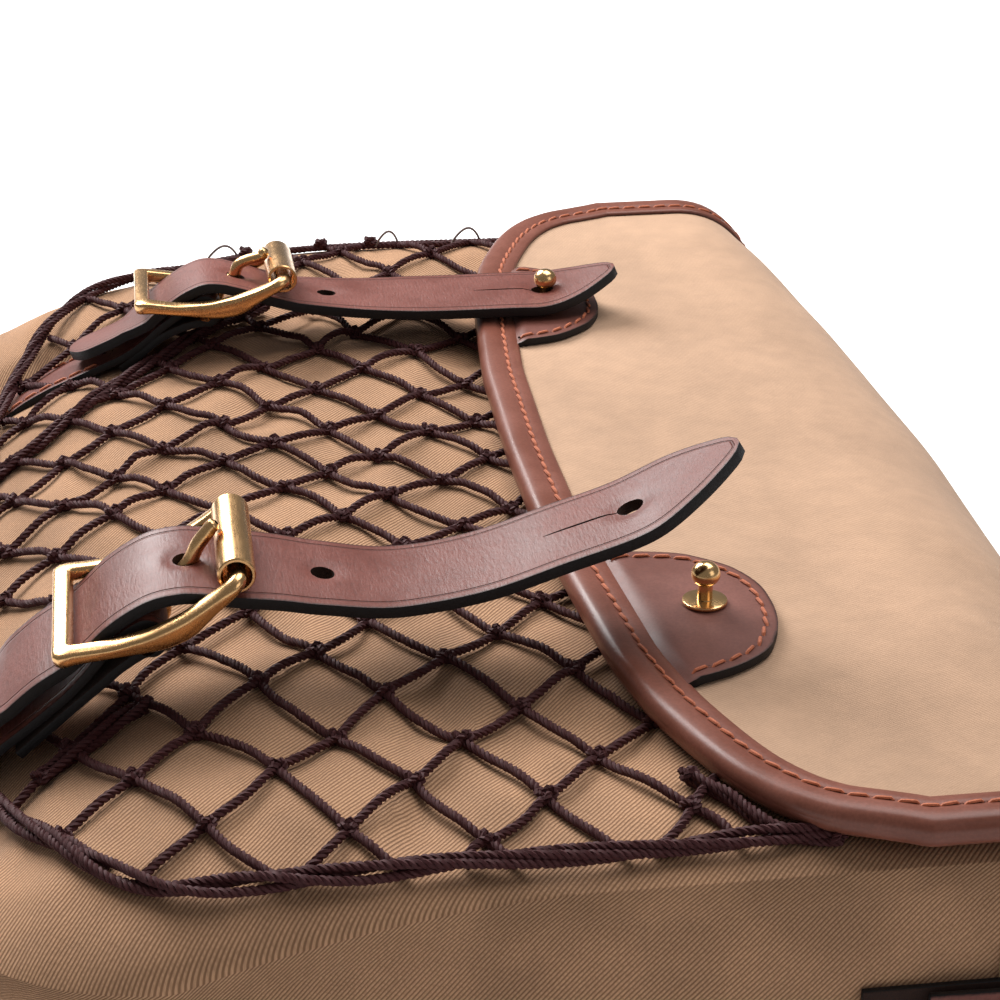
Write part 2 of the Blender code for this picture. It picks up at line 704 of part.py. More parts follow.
def make_net():
    """Make the net: diamonds on the front panel, cut through by a wireframe."""
    bm = bmesh.new()
    step_x, step_y = MESH_LONG / 2, MESH_WIDE / 2
    corners = {}

    def corner(i, j):
        if (i, j) not in corners:
            x = NET_TOP_X - i * step_x
            y = j * step_y
            x = max(x, border_x(min(abs(y), BORDER[6][1])) + BORDER_INSET)
            limit = border_y(x) - BORDER_INSET
            y = min(max(y, -limit), limit)
            corners[i, j] = bm.verts.new(Vector((x, y, net_height(x, y))) * MM)
        return corners[i, j]

    for i in range(1, NET_ROWS):
        for j in range(1 - NET_COLUMNS, NET_COLUMNS):
            x, y = NET_TOP_X - i * step_x, j * step_y
            inside = (abs(y) < border_y(x) - step_y * NET_MARGIN
                      and x > border_x(y) + step_x * NET_MARGIN)
            if (i + j) % 2 == 1 and inside:
                loop = (corner(i, j - 1), corner(i + 1, j), corner(i, j + 1), corner(i - 1, j))
                bm.faces.new(loop)
    bmesh.ops.recalc_face_normals(bm, faces=bm.faces)
    mesh = bpy.data.meshes.new("net")
    bm.to_mesh(mesh)
    bm.free()
    obj = add_part("net", mesh, "twine")
    wires = obj.modifiers.new("Twine", "WIREFRAME")
    wires.thickness = TWINE * MM
    wires.use_even_offset = True
    wires.use_boundary = True
    wires.use_replace = True
    wires.offset = 0.0


def make_border():
    """Lay the border rope round the net, on the front panel."""
    half = smooth_path(BORDER, 2)
    flat = [(p.x, -p.y) for p in reversed(half)] + [(p.x, p.y) for p in half[1:]]
    points = [(x, y, front_height(x, y) + ROPE_LIFT + ROPE_SLACK * (x < CORNER_END))
              for x, y in flat]
    add_part("net_border", tube("net_border", points, ROPE_RADIUS), "twine")


def make_lacing():
    """Lay the short cream cord beside the near strap."""
    add_part("net_lacing", tube("net_lacing", smooth_path(LACING, 2), LACING_RADIUS), "cord")


def make_sling_parts():
    """Make the plain tab and ring at each gusset top, where a shoulder sling fastens."""
    reach = RING_WIRE + GAP + SLING_THICK / 2
    layer = WALL_Y + GAP + SLING_THICK / 2
    ring_y = layer + reach
    path = [(SLING_START, layer), (RING_BAR_X - 6, layer)]
    path += [(RING_BAR_X + reach * math.cos(math.radians(a)),
              ring_y + reach * math.sin(math.radians(a))) for a in (-90, -45, 0, 45, 90)]
    path += [(RING_BAR_X - 7, ring_y + 1.4), (SLING_START + 14, ring_y + 0.2)]
    corner = 4.0
    bend = RING_HALF * 0.9
    outline = [(0.0, -RING_HALF + corner), (0.0, RING_HALF - corner), (1.4, RING_HALF - 1.2),
               (corner, RING_HALF)]
    outline += [(RING_LENGTH - bend + bend * math.cos(math.radians(a)),
                 RING_HALF * math.sin(math.radians(a))) for a in (75, 50, 25, 0, -25, -50, -75)]
    outline += [(corner, -RING_HALF), (1.4, -RING_HALF + 1.2)]
    for side, sign in (("near", -1), ("far", 1)):
        name = "sling_tab_" + side
        count = len(path) - 1

        def place(u, v):
            x, y = path[round(u * count)]
            return x, sign * y, SLING_HEIGHT + SLING_HALF * (2 * v - 1)

        solidify(add_part(name, grid_mesh(name, count, 1, place), "leather"), SLING_THICK)
        points = [(RING_BAR_X + x, sign * ring_y, SLING_HEIGHT + z) for x, z in outline]
        name = "sling_ring_" + side
        add_part(name, tube(name, points, RING_WIRE, cyclic=True), "brass")


clear_scene()
PARTS = make_collection("hunting_game_bag")
CUTTERS = make_collection("cutters")
make_body()
make_flap()
make_binding()
for side_name, side_row in SIDES.items():
    make_stud_tab(side_name, side_row)
    make_stud(side_name, side_row)
    make_strap(side_name, side_row)
    make_buckle_strap(side_name, side_row)
    make_frame(side_name, side_row)
    make_roller(side_name, side_row)
    make_prong(side_name, side_row)
make_net()
make_border()
make_lacing()
make_sling_parts()
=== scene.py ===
"""Hunting game bag on its back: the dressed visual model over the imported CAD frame.

Lengths in the classes are millimetres in the CAD's own axes: X runs from the bag's bottom to the
fold of its flap, Y across its width, and Z up from the back panel. Meshes are made in metres.
"""

import logging
import math
import random
from dataclasses import dataclass, field
from enum import Enum
from typing import Callable, Sequence

import bmesh
import bpy
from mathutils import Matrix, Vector, noise


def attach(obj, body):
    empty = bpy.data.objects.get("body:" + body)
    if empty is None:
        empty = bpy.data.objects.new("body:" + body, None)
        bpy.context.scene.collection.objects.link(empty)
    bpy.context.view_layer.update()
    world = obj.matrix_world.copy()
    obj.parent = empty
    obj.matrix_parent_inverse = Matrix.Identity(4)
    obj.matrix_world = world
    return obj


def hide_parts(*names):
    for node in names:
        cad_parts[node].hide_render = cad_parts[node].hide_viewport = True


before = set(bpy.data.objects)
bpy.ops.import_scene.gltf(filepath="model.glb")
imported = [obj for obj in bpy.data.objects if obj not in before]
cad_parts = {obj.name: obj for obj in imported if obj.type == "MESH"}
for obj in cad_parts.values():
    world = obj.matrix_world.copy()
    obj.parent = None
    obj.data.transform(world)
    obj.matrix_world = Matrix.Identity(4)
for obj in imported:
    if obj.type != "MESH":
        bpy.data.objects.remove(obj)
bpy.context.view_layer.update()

LOG = logging.getLogger("game_bag")
MM = 0.001
UP = Vector((0.0, 0.0, 1.0))
Colour = tuple[float, float, float]
Spot = tuple[float, float]
# The space in millimetres that the CAD leaves between two pieces.
CLEARANCE = 0.3
# Finishes by slot: a strap's outer side, rim and inner side; stitches and the painted shade of
# their holes.
LEATHER = ("strap_leather", "black_edge", "flesh_side_and_hole_shade")
STITCHES = ("rust_thread", "awl_hole_painted_shade")


class Side(Enum):
    """The two fastenings: near the camera, and far from it."""

    NEAR = "near"
    FAR = "far"


# ---------------------------------------------------------------- materials


class Graph:
    """A material's node tree, with short calls that add nodes and join them."""

    def __init__(self, name: str) -> None:
        """Make an empty Principled material with this name."""
        self.material = bpy.data.materials.new(name)
        self.material.use_nodes = True
        self.tree = self.material.node_tree
        self.shader = self.tree.nodes["Principled BSDF"]

    def set(self, **values: float) -> None:
        """Set the shader's own sockets, with underscores in place of spaces."""
        for key, value in values.items():
            self.shader.inputs[key.replace("_", " ")].default_value = value

    def add(self, kind: str, inputs: dict | None = None, **settings: object) -> bpy.types.Node:
        """Add one node.

        Args:
            kind: the node's type without its ShaderNode prefix.
            inputs: values or sockets by input name or index.
            settings: the node's own properties.

        Returns:
            The new node.
        """
        node = self.tree.nodes.new("ShaderNode" + kind)
        for key, value in settings.items():
            setattr(node, key, value)
        for key, value in (inputs or {}).items():
            if isinstance(value, bpy.types.NodeSocket):
                self.tree.links.new(value, node.inputs[key])
            else:
                node.inputs[key].default_value = value
        return node

    def math(self, operation: str, a: object, b: object = 0.0) -> bpy.types.NodeSocket:
        """Join two values by a Math node and return its output."""
        return self.add("Math", {0: a, 1: b}, operation=operation).outputs[0]

    def place(self, uv: bool = False, scale: Sequence[float] = (1, 1, 1),
              turn: float = 0.0) -> bpy.types.NodeSocket:
        """Read a place on the piece in millimetres.

        Args:
            uv: read the piece's own UV map, which is in millimetres, and not Object coordinates.
            scale: a stretch along each axis.
            turn: a turn about Z in degrees.

        Returns:
            The vector socket.
        """
        coords = self.add("TexCoord").outputs["UV" if uv else "Object"]
        size = 1.0 if uv else 1000.0
        if turn:
            coords = self.add("Mapping", {"Vector": coords,
                                          "Rotation": (0, 0, math.radians(turn))}).outputs[0]
        return self.add("Mapping", {"Vector": coords,
                                    "Scale": tuple(s * size for s in scale)}).outputs[0]

    def noise(self, place: bpy.types.NodeSocket, period: float, detail: float = 3.0,
              rough: float = 0.55) -> bpy.types.NodeSocket:
        """Read noise whose features are about period millimetres wide."""
        node = self.add("TexNoise", {"Vector": place, "Scale": 1.0 / period, "Detail": detail,
                                     "Roughness": rough})
        return node.outputs["Fac"]

    def waves(self, place: bpy.types.NodeSocket, period: float,
              distortion: float = 0.0) -> bpy.types.NodeSocket:
        """Read soft bands across X with this period in millimetres."""
        node = self.add("TexWave", {"Vector": place, "Scale": 0.314 / period,
                                    "Distortion": distortion, "Detail": 2.0,
                                    "Detail Scale": 1.5}, wave_type="BANDS", bands_direction="X")
        return node.outputs["Fac"]

    def span(self, value: bpy.types.NodeSocket, low: float, high: float, out_low: float,
             out_high: float) -> bpy.types.NodeSocket:
        """Map a value from one range to another, kept inside it."""
        node = self.add("MapRange", {0: value, 1: low, 2: high, 3: out_low, 4: out_high},
                        interpolation_type="SMOOTHSTEP")
        return node.outputs[0]

    def mix(self, share: object, a: object, b: object,
            blend: str = "MIX") -> bpy.types.NodeSocket:
        """Mix two colours and return the result."""
        a = (*a, 1.0) if isinstance(a, tuple) else a
        b = (*b, 1.0) if isinstance(b, tuple) else b
        node = self.add("Mix", {0: share, 6: a, 7: b}, data_type="RGBA", blend_type=blend)
        return node.outputs[2]

    def bump(self, height: bpy.types.NodeSocket, depth: float,
             below: bpy.types.NodeSocket | None = None) -> bpy.types.NodeSocket:
        """Turn a height into a normal; depth is in millimetres."""
        inputs = {"Height": height, "Distance": depth * MM, "Strength": 1.0}
        if below is not None:
            inputs["Normal"] = below
        return self.add("Bump", inputs).outputs[0]

    def finish(self, colour: bpy.types.NodeSocket, rough: bpy.types.NodeSocket | None = None,
               normal: bpy.types.NodeSocket | None = None) -> bpy.types.Material:
        """Join the colour, roughness and normal to the shader and return the material."""
        self.tree.links.new(colour, self.shader.inputs["Base Color"])
        if rough is not None:
            self.tree.links.new(rough, self.shader.inputs["Roughness"])
        if normal is not None:
            self.tree.links.new(normal, self.shader.inputs["Normal"])
        return self.material


@dataclass(frozen=True)
class TwillCanvas:
    """Proofed cotton twill: diagonal wales, fine threads across them and soft variation. Its dark
    colour paints shade into the grooves between wales over the yarn's own tone, and its folds get
    painted shade.
    """

    name: str
    light: Colour
    dark: Colour
    wale: float = 0.95
    turn: float = -46.0
    depth: float = 0.14
    contrast: float = 0.8
    crease: float = 1.0

    def build(self) -> bpy.types.Material:
        """Build the material on the piece's UV map, in millimetres."""
        g = Graph(self.name)
        g.set(Roughness=0.9, Specular_IOR_Level=0.15, Sheen_Weight=0.08, Sheen_Roughness=0.5)
        ribs = g.waves(g.place(uv=True, turn=self.turn), self.wale, 0.5)
        yarn = g.noise(g.place(uv=True, scale=(1, 2.4, 1), turn=self.turn), 1.3, 2.0)
        weave_and_groove_shade = g.math("MULTIPLY", g.span(ribs, 0.05, 0.75, 0.0, 1.0),
                       g.span(yarn, 0.3, 0.65, 0.6, 1.0))
        shade = g.noise(g.place(), 55.0, 4.0, 0.6)
        rub = g.noise(g.place(), 7.0, 5.0, 0.7)
        # Painted shade: the grooves between the wales are darkened towards the dark colour, over
        # the yarn's own tone.
        share = g.math("MULTIPLY", g.math("SUBTRACT", 1.0, weave_and_groove_shade), self.contrast)
        colour = g.mix(share, self.light, self.dark)
        tone = g.span(shade, 0.3, 0.7, 0.92, 1.05)
        tone = g.math("MULTIPLY", tone, g.span(rub, 0.3, 0.7, 0.95, 1.04))
        fold = g.noise(g.place(scale=(1.0, 0.6, 1.0)), 26.0, 1.5, 0.4)
        # Painted shade: the low parts of the folds are darkened, scaled by crease.
        tone = g.math("MULTIPLY", tone, g.span(fold, 0.3, 0.6, 1.0 - 0.16 * self.crease, 1.03))
        tint = g.add("CombineColor", {0: tone, 1: tone, 2: tone}).outputs[0]
        colour = g.mix(1.0, colour, tint, "MULTIPLY")
        normal = g.bump(fold, 4.0 * self.crease, g.bump(rub, 0.3))
        normal = g.bump(weave_and_groove_shade, self.depth, normal)
        return g.finish(colour, g.span(rub, 0.3, 0.7, 0.84, 0.95), normal)


@dataclass(frozen=True)
class BridleLeather:
    """Smooth dyed leather with a fine grain and a line creased inside each edge, and painted shade
    in the valleys of its wrinkles.

    The UV map's V is the distance from the nearest edge in millimetres.
    """

    name: str
    colour: Colour
    crease: float = 0.0
    gloss: float = 0.4
    grain: float = 0.05
    wrinkle: float = 0.0

    def build(self) -> bpy.types.Material:
        """Build the material."""
        g = Graph(self.name)
        g.set(Specular_IOR_Level=0.3)
        cloud = g.noise(g.place(), 24.0, 4.0, 0.6)
        fine = g.noise(g.place(), 0.8, 4.0, 0.65)
        pull = g.noise(g.place(scale=(1.0, 0.22, 0.6)), 0.75, 3.0, 0.6)
        dark = tuple(c * 0.55 for c in self.colour)
        light = tuple(min(c * 1.3 + 0.01, 1.0) for c in self.colour)
        colour = g.mix(g.span(cloud, 0.3, 0.7, 0.0, 1.0), self.colour, light)
        colour = g.mix(g.span(fine, 0.35, 0.65, 0.3, 0.0), colour, dark)
        normal = g.bump(fine, self.grain)
        if self.wrinkle > 0:
            worked = g.math("MULTIPLY", pull, g.span(cloud, 0.35, 0.6, 0.35, 1.0))
            # Painted shade: the valleys of the wrinkles are darkened.
            colour = g.mix(g.span(pull, 0.3, 0.5, 0.35, 0.0), colour, dark)
            normal = g.bump(worked, self.wrinkle, normal)
        edge = g.add("SeparateXYZ", {0: g.place(uv=True)}).outputs[1]
        if self.crease > 0:
            away = g.math("ABSOLUTE", g.math("SUBTRACT", edge, self.crease))
            groove = g.span(away, 0.1, 0.5, 0.0, 1.0)
            colour = g.mix(g.span(away, 0.1, 0.45, 0.7, 0.0), colour, dark)
            normal = g.bump(groove, 0.4, normal)
        worn = g.math("MULTIPLY", g.span(edge, 0.1, 0.9, 1.0, 0.0), g.span(fine, 0.3, 0.6, 0.3, 1))
        colour = g.mix(worn, colour, tuple(c * 0.2 for c in self.colour))
        rough = g.span(cloud, 0.25, 0.75, self.gloss - 0.05, self.gloss + 0.09)
        return g.finish(colour, rough, normal)


@dataclass(frozen=True)
class Fibre:
    """A matt fibrous finish, such as a painted leather edge, the flesh side, yarn or thread."""

    name: str
    colour: Colour
    rough: float = 0.8
    period: float = 0.35
    depth: float = 0.12
    sheen: float = 0.1
    stretch: tuple[float, float, float] = (1.0, 1.0, 1.0)
    uv: bool = False

    def build(self) -> bpy.types.Material:
        """Build the material."""
        g = Graph(self.name)
        g.set(Roughness=self.rough, Sheen_Weight=self.sheen, Sheen_Roughness=0.45,
              Specular_IOR_Level=0.3)
        fuzz = g.noise(g.place(uv=self.uv, scale=self.stretch), self.period, 4.0, 0.65)
        drift = g.noise(g.place(), 9.0, 2.0)
        low = tuple(c * 0.55 for c in self.colour)
        high = tuple(min(c * 1.5, 1) for c in self.colour)
        colour = g.mix(g.span(fuzz, 0.3, 0.7, 0.0, 1.0), low, high)
        colour = g.mix(g.span(drift, 0.3, 0.7, 0.0, 0.45), colour, self.colour)
        return g.finish(colour, g.span(fuzz, 0.3, 0.7, self.rough - 0.12, self.rough + 0.08),
                        g.bump(fuzz, self.depth))


@dataclass(frozen=True)
class SolidBrass:
    """Polished brass: fine scratches over soft patches that are darker and duller."""

    name: str
    colour: Colour = (0.74, 0.44, 0.20)
    gloss: float = 0.22

    def build(self) -> bpy.types.Material:
        """Build the material."""
        g = Graph(self.name)
        g.set(Metallic=1.0)
        patch = g.noise(g.place(), 9.0, 3.0, 0.5)
        scratch = g.noise(g.place(scale=(1.0, 0.12, 1.0)), 0.5, 3.0, 0.6)
        dark = tuple(c * 0.8 for c in self.colour)
        colour = g.mix(g.span(patch, 0.42, 0.72, 0.0, 0.6), self.colour, dark)
        rough = g.math("ADD", g.span(patch, 0.35, 0.75, self.gloss, self.gloss + 0.08),
                       g.span(scratch, 0.4, 0.75, 0.0, 0.06))
        return g.finish(colour, rough, g.bump(patch, 0.02))


class Finishes:
    """Every finish of the bag, built once and looked up by name."""

    def __init__(self) -> None:
        """Build the materials."""
        listed = (
            # Both canvases paint shade into their twill grooves with their dark colour; body_canvas
            # paints it deeper than flap_canvas.
            TwillCanvas("body_canvas", (0.54, 0.31, 0.18), (0.17, 0.085, 0.042)),
            TwillCanvas("flap_canvas", (0.50, 0.32, 0.212), (0.31, 0.185, 0.112), turn=46.0,
                        depth=0.05, contrast=0.45, crease=0.1),
            BridleLeather("strap_leather", (0.148, 0.040, 0.028), crease=2.6, gloss=0.44,
                          grain=0.05, wrinkle=0.18),
            BridleLeather("tab_leather", (0.145, 0.047, 0.033), gloss=0.46, grain=0.03),
            BridleLeather("binding_leather", (0.17, 0.054, 0.034), gloss=0.33, grain=0.03),
            Fibre("black_edge", (0.008, 0.007, 0.008), rough=0.6, sheen=0.0),
            # The dark flesh side; on the cut walls of holes and slots it paints the shade inside
            # them.
            Fibre("flesh_side_and_hole_shade", (0.03, 0.014, 0.01), rough=0.95, depth=0.25, sheen=0.0),
            Fibre("raw_cloth", (0.36, 0.24, 0.14), rough=0.95, period=0.6),
            Fibre("twine", (0.050, 0.010, 0.011), rough=0.72, period=0.16, depth=0.05, sheen=0.0,
                  stretch=(1.2, 0.25, 1.0), uv=True),
            Fibre("rust_thread", (0.45, 0.125, 0.055), rough=0.6, period=0.25, depth=0.08),
            Fibre("canvas_thread", (0.40, 0.26, 0.14), rough=0.7, period=0.3),
            # Near-black finish of the discs at the stitch ends: painted shade of the awl holes.
            Fibre("awl_hole_painted_shade", (0.008, 0.004, 0.003), rough=0.9),
            Fibre("cream_cord", (0.62, 0.47, 0.36), rough=0.65, period=0.5, depth=0.05, sheen=0.2),
            # Pale grey of the loose loops: painted backlight on them.
            Fibre("filament_painted_backlight", (0.19, 0.14, 0.13), rough=0.5, period=0.4),
            SolidBrass("cast_brass"),
            SolidBrass("turned_brass", (0.80, 0.50, 0.23), 0.17),
        )
        self.made = {finish.name: finish.build() for finish in listed}

    def __getitem__(self, name: str) -> bpy.types.Material:
        """Look a material up by name."""
        return self.made[name]


# ---------------------------------------------------------------- mesh tools


Place = Callable[[float, float], tuple[Vector, Spot]]


def shape_grid(bm: bmesh.types.BMesh, columns: int, rows: int, place: Place,
               wrap: bool = False, caps: bool = False, slot: int = 0) -> list[bmesh.types.BMVert]:
    """Add a grid and shape it by a function of u and v from 0 to 1.

    Args:
        bm: the mesh that takes the grid.
        columns: faces along u.
        rows: faces along v.
        place: gives a point in millimetres, and its UV in millimetres.
        wrap: merge the vertices that meet.
        caps: close the loops at v = 0 and v = 1.
        slot: the material slot of the faces.

    Returns:
        The grid's vertices.
    """
    surface = bm.loops.layers.uv.get("surface") or bm.loops.layers.uv.new("surface")
    verts = bmesh.ops.create_grid(bm, x_segments=columns, y_segments=rows, size=0.5)["verts"]
    spots, ends = {}, []
    for vert in verts:
        u, v = vert.co.x + 0.5, vert.co.y + 0.5
        if min(v, 1 - v) < 1e-4:
            ends.append(vert)
        point, spots[vert] = place(u, v)
        vert.co = point * MM
    faces = {face for vert in verts for face in vert.link_faces}
    for face in faces:
        face.smooth = True
        face.material_index = slot
        for loop in face.loops:
            loop[surface].uv = spots[loop.vert]
    rims = []
    if caps:
        rim = set(ends)
        rims = [e for vert in ends for e in vert.link_edges if all(x in rim for x in e.verts)]
    if wrap:
        bmesh.ops.remove_doubles(bm, verts=verts, dist=0.002 * MM)
        verts = [vert for vert in verts if vert.is_valid]
    if caps:
        rims = list({e for e in rims if e.is_valid})
        for face in bmesh.ops.holes_fill(bm, edges=rims, sides=0)["faces"]:
            face.material_index = slot
    return verts


def running_lengths(points: Sequence[Vector]) -> list[float]:
    """Add up the distance along a path.

    Args:
        points: the path.

    Returns:
        The distance from the first point to each point.
    """
    lengths = [0.0]
    for a, b in zip(points, points[1:]):
        lengths.append(lengths[-1] + (b - a).length)
    return lengths


class Workshop:
    """Turns bmeshes into finished, named pieces that ride on the bag."""

    def __init__(self, finishes: Finishes) -> None:
        """Keep the finishes, and where the pieces are linked."""
        self.finishes = finishes
        self.collection = bpy.context.scene.collection

    def piece(self, name: str, bm: bmesh.types.BMesh, materials: Sequence[str],
              nodes: Sequence[str] = (), sharp: float = 40.0) -> bpy.types.Object:
        """Make one piece of a bmesh.

        Args:
            name: the piece's name.
            bm: its mesh, which is freed.
            materials: its finishes, by slot.
            nodes: the CAD nodes that it replaces.
            sharp: the angle in degrees above which an edge is shaded sharp.

        Returns:
            The finished object.
        """
        mesh = bpy.data.meshes.new(name)
        bm.to_mesh(mesh)
        bm.free()
        for material in materials:
            mesh.materials.append(self.finishes[material])
        mesh.set_sharp_from_angle(angle=math.radians(sharp))
        obj = bpy.data.objects.new(name, mesh)
        self.collection.objects.link(obj)
        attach(obj, "root")
        if nodes:
            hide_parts(*nodes)
        LOG.info("%s: %d faces", name, len(mesh.polygons))
        return obj

    def thicken(self, obj: bpy.types.Object, thick: float, offset: float = 0.0,
                bevel: float = 0.0) -> None:
        """Give a sheet its thickness, a rim in slot 1, an inner side in slot 2 and round edges."""
        wall = obj.modifiers.new("Wall", "SOLIDIFY")
        wall.thickness = thick * MM
        wall.offset = offset
        wall.use_even_offset = bevel > 0
        wall.material_offset_rim = 1
        wall.material_offset = 2
        if bevel > 0:
            rounding = obj.modifiers.new("Edge", "BEVEL")
            rounding.width = bevel * MM
            rounding.segments = 2
            rounding.limit_method = "ANGLE"
            rounding.angle_limit = math.radians(50)

    def cut_out(self, obj: bpy.types.Object, shapes: Sequence[bmesh.types.BMesh],
                sharp: float = 40.0) -> None:
        """Cut closed shapes out of a leather piece, and apply its modifiers.

        Args:
            obj: the piece.
            shapes: the meshes to cut out in turn, which are freed.
            sharp: the angle in degrees above which an edge is shaded sharp.
        """
        cutters = []
        for bm in shapes:
            mesh = bpy.data.meshes.new("cutter")
            bm.to_mesh(mesh)
            bm.free()
            # The cut walls take the dark flesh-side finish: painted shade inside the holes and
            # slots.
            mesh.materials.append(self.finishes["flesh_side_and_hole_shade"])
            cutter = bpy.data.objects.new("cutter", mesh)
            self.collection.objects.link(cutter)
            cutters.append(cutter)
            cut = obj.modifiers.new("Cut", "BOOLEAN")
            cut.operation, cut.solver, cut.object = "DIFFERENCE", "EXACT", cutter
            cut.material_mode = "TRANSFER"
        graph = bpy.context.evaluated_depsgraph_get()
        mesh = bpy.data.meshes.new_from_object(obj.evaluated_get(graph))
        mesh.name = obj.name
        obj.modifiers.clear()
        obj.data = mesh
        mesh.set_sharp_from_angle(angle=math.radians(sharp))
        for cutter in cutters:
            bpy.data.objects.remove(cutter, do_unlink=True)


@dataclass
class Tube:
    """Sweeps a section along a path, as one grid wrapped round it."""

    points: Sequence[Vector]
    section: Callable[[float, float], Spot]
    sides: int = 10
    cyclic: bool = False
    up: Vector = field(default_factory=lambda: UP.copy())

    def frames(self) -> list[tuple[Vector, Vector, Vector]]:
        """List each point with its sideways and upward directions."""
        rows, count = [], len(self.points)
        up = self.up.copy()
        for k, point in enumerate(self.points):
            if self.cyclic:
                ahead, back = self.points[(k + 1) % count], self.points[k - 1]
            else:
                ahead, back = self.points[min(k + 1, count - 1)], self.points[max(k - 1, 0)]
            along = (ahead - back).normalized()
            up = (up - along * up.dot(along)).normalized()
            rows.append((point, along.cross(up), up))
        return rows

    def add_to(self, bm: bmesh.types.BMesh, slot: int = 0) -> list[bmesh.types.BMVert]:
        """Add the tube to a bmesh and return its vertices."""
        rows = self.frames()
        closing = [self.points[0]] if self.cyclic else []
        lengths = running_lengths([*self.points, *closing])
        count = len(lengths) - 1

        def place(u: float, v: float) -> tuple[Vector, Spot]:
            k = round(v * count)
            point, aside, up = rows[k % len(rows)]
            turn = 2 * math.pi * round(u * self.sides) / self.sides
            a, b = self.section(turn, k / count)
            return point + aside * a + up * b, (turn, lengths[k])

        return shape_grid(bm, self.sides, count, place, wrap=True, caps=not self.cyclic,
                          slot=slot)


def round_section(radius: float) -> Callable[[float, float], Spot]:
    """Give a round section of a radius."""
    return lambda turn, share: (radius * math.cos(turn), radius * math.sin(turn))


@dataclass(frozen=True)
class Twine:
    """Twine laid up of three plies that wind round each other to the right."""

    radius: float = 1.2
    lay: float = 5.0
    steps: int = 8
    plies: int = 3
    sides: int = 5

    def add_to(self, bm: bmesh.types.BMesh, points: Sequence[Vector], start: float = 0.0) -> None:
        """Add a length of twine along the points.

        Args:
            bm: the mesh that takes the plies.
            points: the twine's own path.
            start: the first ply's angle.
        """
        line = even_path(points, self.lay / self.steps)
        rows = Tube(line, round_section(1.0)).frames()
        thick, reach = self.radius * 0.48, self.radius * 0.53
        for ply in range(self.plies):
            path = []
            for k, (point, aside, up) in enumerate(rows):
                angle = start + 2 * math.pi * (ply / self.plies - k / self.steps)
                path.append(point + (aside * math.cos(angle) + up * math.sin(angle)) * reach)
            Tube(path, round_section(thick), sides=self.sides).add_to(bm)


def smooth_path(points: Sequence[Sequence[float]], steps: int) -> list[Vector]:
    """Read a smooth curve through the points, with a number of steps between each two."""
    points = [Vector(p) for p in points]
    ends = [2 * points[0] - points[1]] + points + [2 * points[-1] - points[-2]]
    path = []
    for a, b, c, d in zip(ends, ends[1:], ends[2:], ends[3:]):
        for k in range(steps):
            t = k / steps
            path.append(0.5 * (2 * b + (c - a) * t + (2 * a - 5 * b + 4 * c - d) * t * t
                               + (3 * b - a - 3 * c + d) * t ** 3))
    return path + [points[-1]]


def even_path(points: Sequence[Vector], step: float) -> list[Vector]:
    """Space the points of a path evenly, about step apart."""
    lengths = running_lengths(points)
    count = max(round(lengths[-1] / step), 2)
    path, k = [], 0
    for j in range(count + 1):
        want = lengths[-1] * j / count
        while k < len(points) - 2 and lengths[k + 1] < want:
            k += 1
        share = (want - lengths[k]) / max(lengths[k + 1] - lengths[k], 1e-9)
        path.append(points[k].lerp(points[k + 1], share))
    return path


def read_table(rows: Sequence[Spot], column: int, value: float) -> float:
    """Read the other column of a two-column table by straight steps."""
    rows = sorted(rows, key=lambda row: row[column])
    value = min(max(value, rows[0][column]), rows[-1][column])
    for low, high in zip(rows, rows[1:]):
        if value <= high[column]:
            share = (value - low[column]) / (high[column] - low[column])
            return low[1 - column] + share * (high[1 - column] - low[1 - column])
    return rows[-1][1 - column]


def ease(value: float, low: float, high: float) -> float:
    """Rise smoothly from 0 at low to 1 at high."""
    t = min(max((value - low) / (high - low), 0.0), 1.0)
    return t * t * (3 - 2 * t)


@dataclass
class Stitching:
    """A row of saddle stitches: slanted capsules that dive into near-black discs, which paint the
    shade of awl holes.
    """

    pitch: float = 5.4
    radius: float = 0.5
    slant: float = 9.0
    half_share: float = 0.47
    holes: bool = True

    def add_to(self, bm: bmesh.types.BMesh, path: Sequence[Vector],
               normals: Sequence[Vector]) -> None:
        """Add the row to a bmesh.

        Args:
            bm: the mesh that takes the stitches in slot 0 and the painted shade of their holes in
                slot 1.
            path: points on the surface along the row.
            normals: the surface's normal at each point.
        """
        lengths = running_lengths(path)
        count = max(round(lengths[-1] / self.pitch), 1)
        pitch = lengths[-1] / count

        def at(distance: float) -> tuple[Vector, Vector, Vector]:
            k = 0
            while k < len(path) - 2 and lengths[k + 1] < distance:
                k += 1
            share = (distance - lengths[k]) / max(lengths[k + 1] - lengths[k], 1e-9)
            along = (path[k + 1] - path[k]).normalized()
            return path[k].lerp(path[k + 1], share), along, normals[k].lerp(normals[k + 1], share)

        for n in range(count):
            middle, along, normal = at((n + 0.5) * pitch)
            aside = normal.cross(along).normalized()
            lean = math.tan(math.radians(self.slant + 3 * math.sin(n * 2.3)))
            half = pitch * self.half_share
            points = []
            for share in (-1.0, -0.88, -0.6, -0.2, 0.2, 0.6, 0.88, 1.0):
                lift = self.radius * (0.7 - 1.7 * max(abs(share) - 0.6, 0) / 0.4)
                points.append(middle + along * half * share + aside * half * share * lean
                              + normal * lift)
            Tube(points, lambda turn, share: (
                self.radius * math.cos(turn) * (0.55 + 0.45 * math.sin(math.pi * share)),
                self.radius * math.sin(turn) * 0.8 * (0.55 + 0.45 * math.sin(math.pi * share))),
                sides=6, up=normal).add_to(bm)
            # Each hole is a short near-black cylinder at the surface: painted shade, not a cut.
            if self.holes:
                spot = middle + along * pitch / 2 + aside * half * lean * 0.3
                ring = [spot - normal * 0.3, spot + normal * 0.05]
                Tube(ring, round_section(self.radius * 0.95), sides=7,
                     up=along).add_to(bm, slot=1)


# ---------------------------------------------------------------- the bag


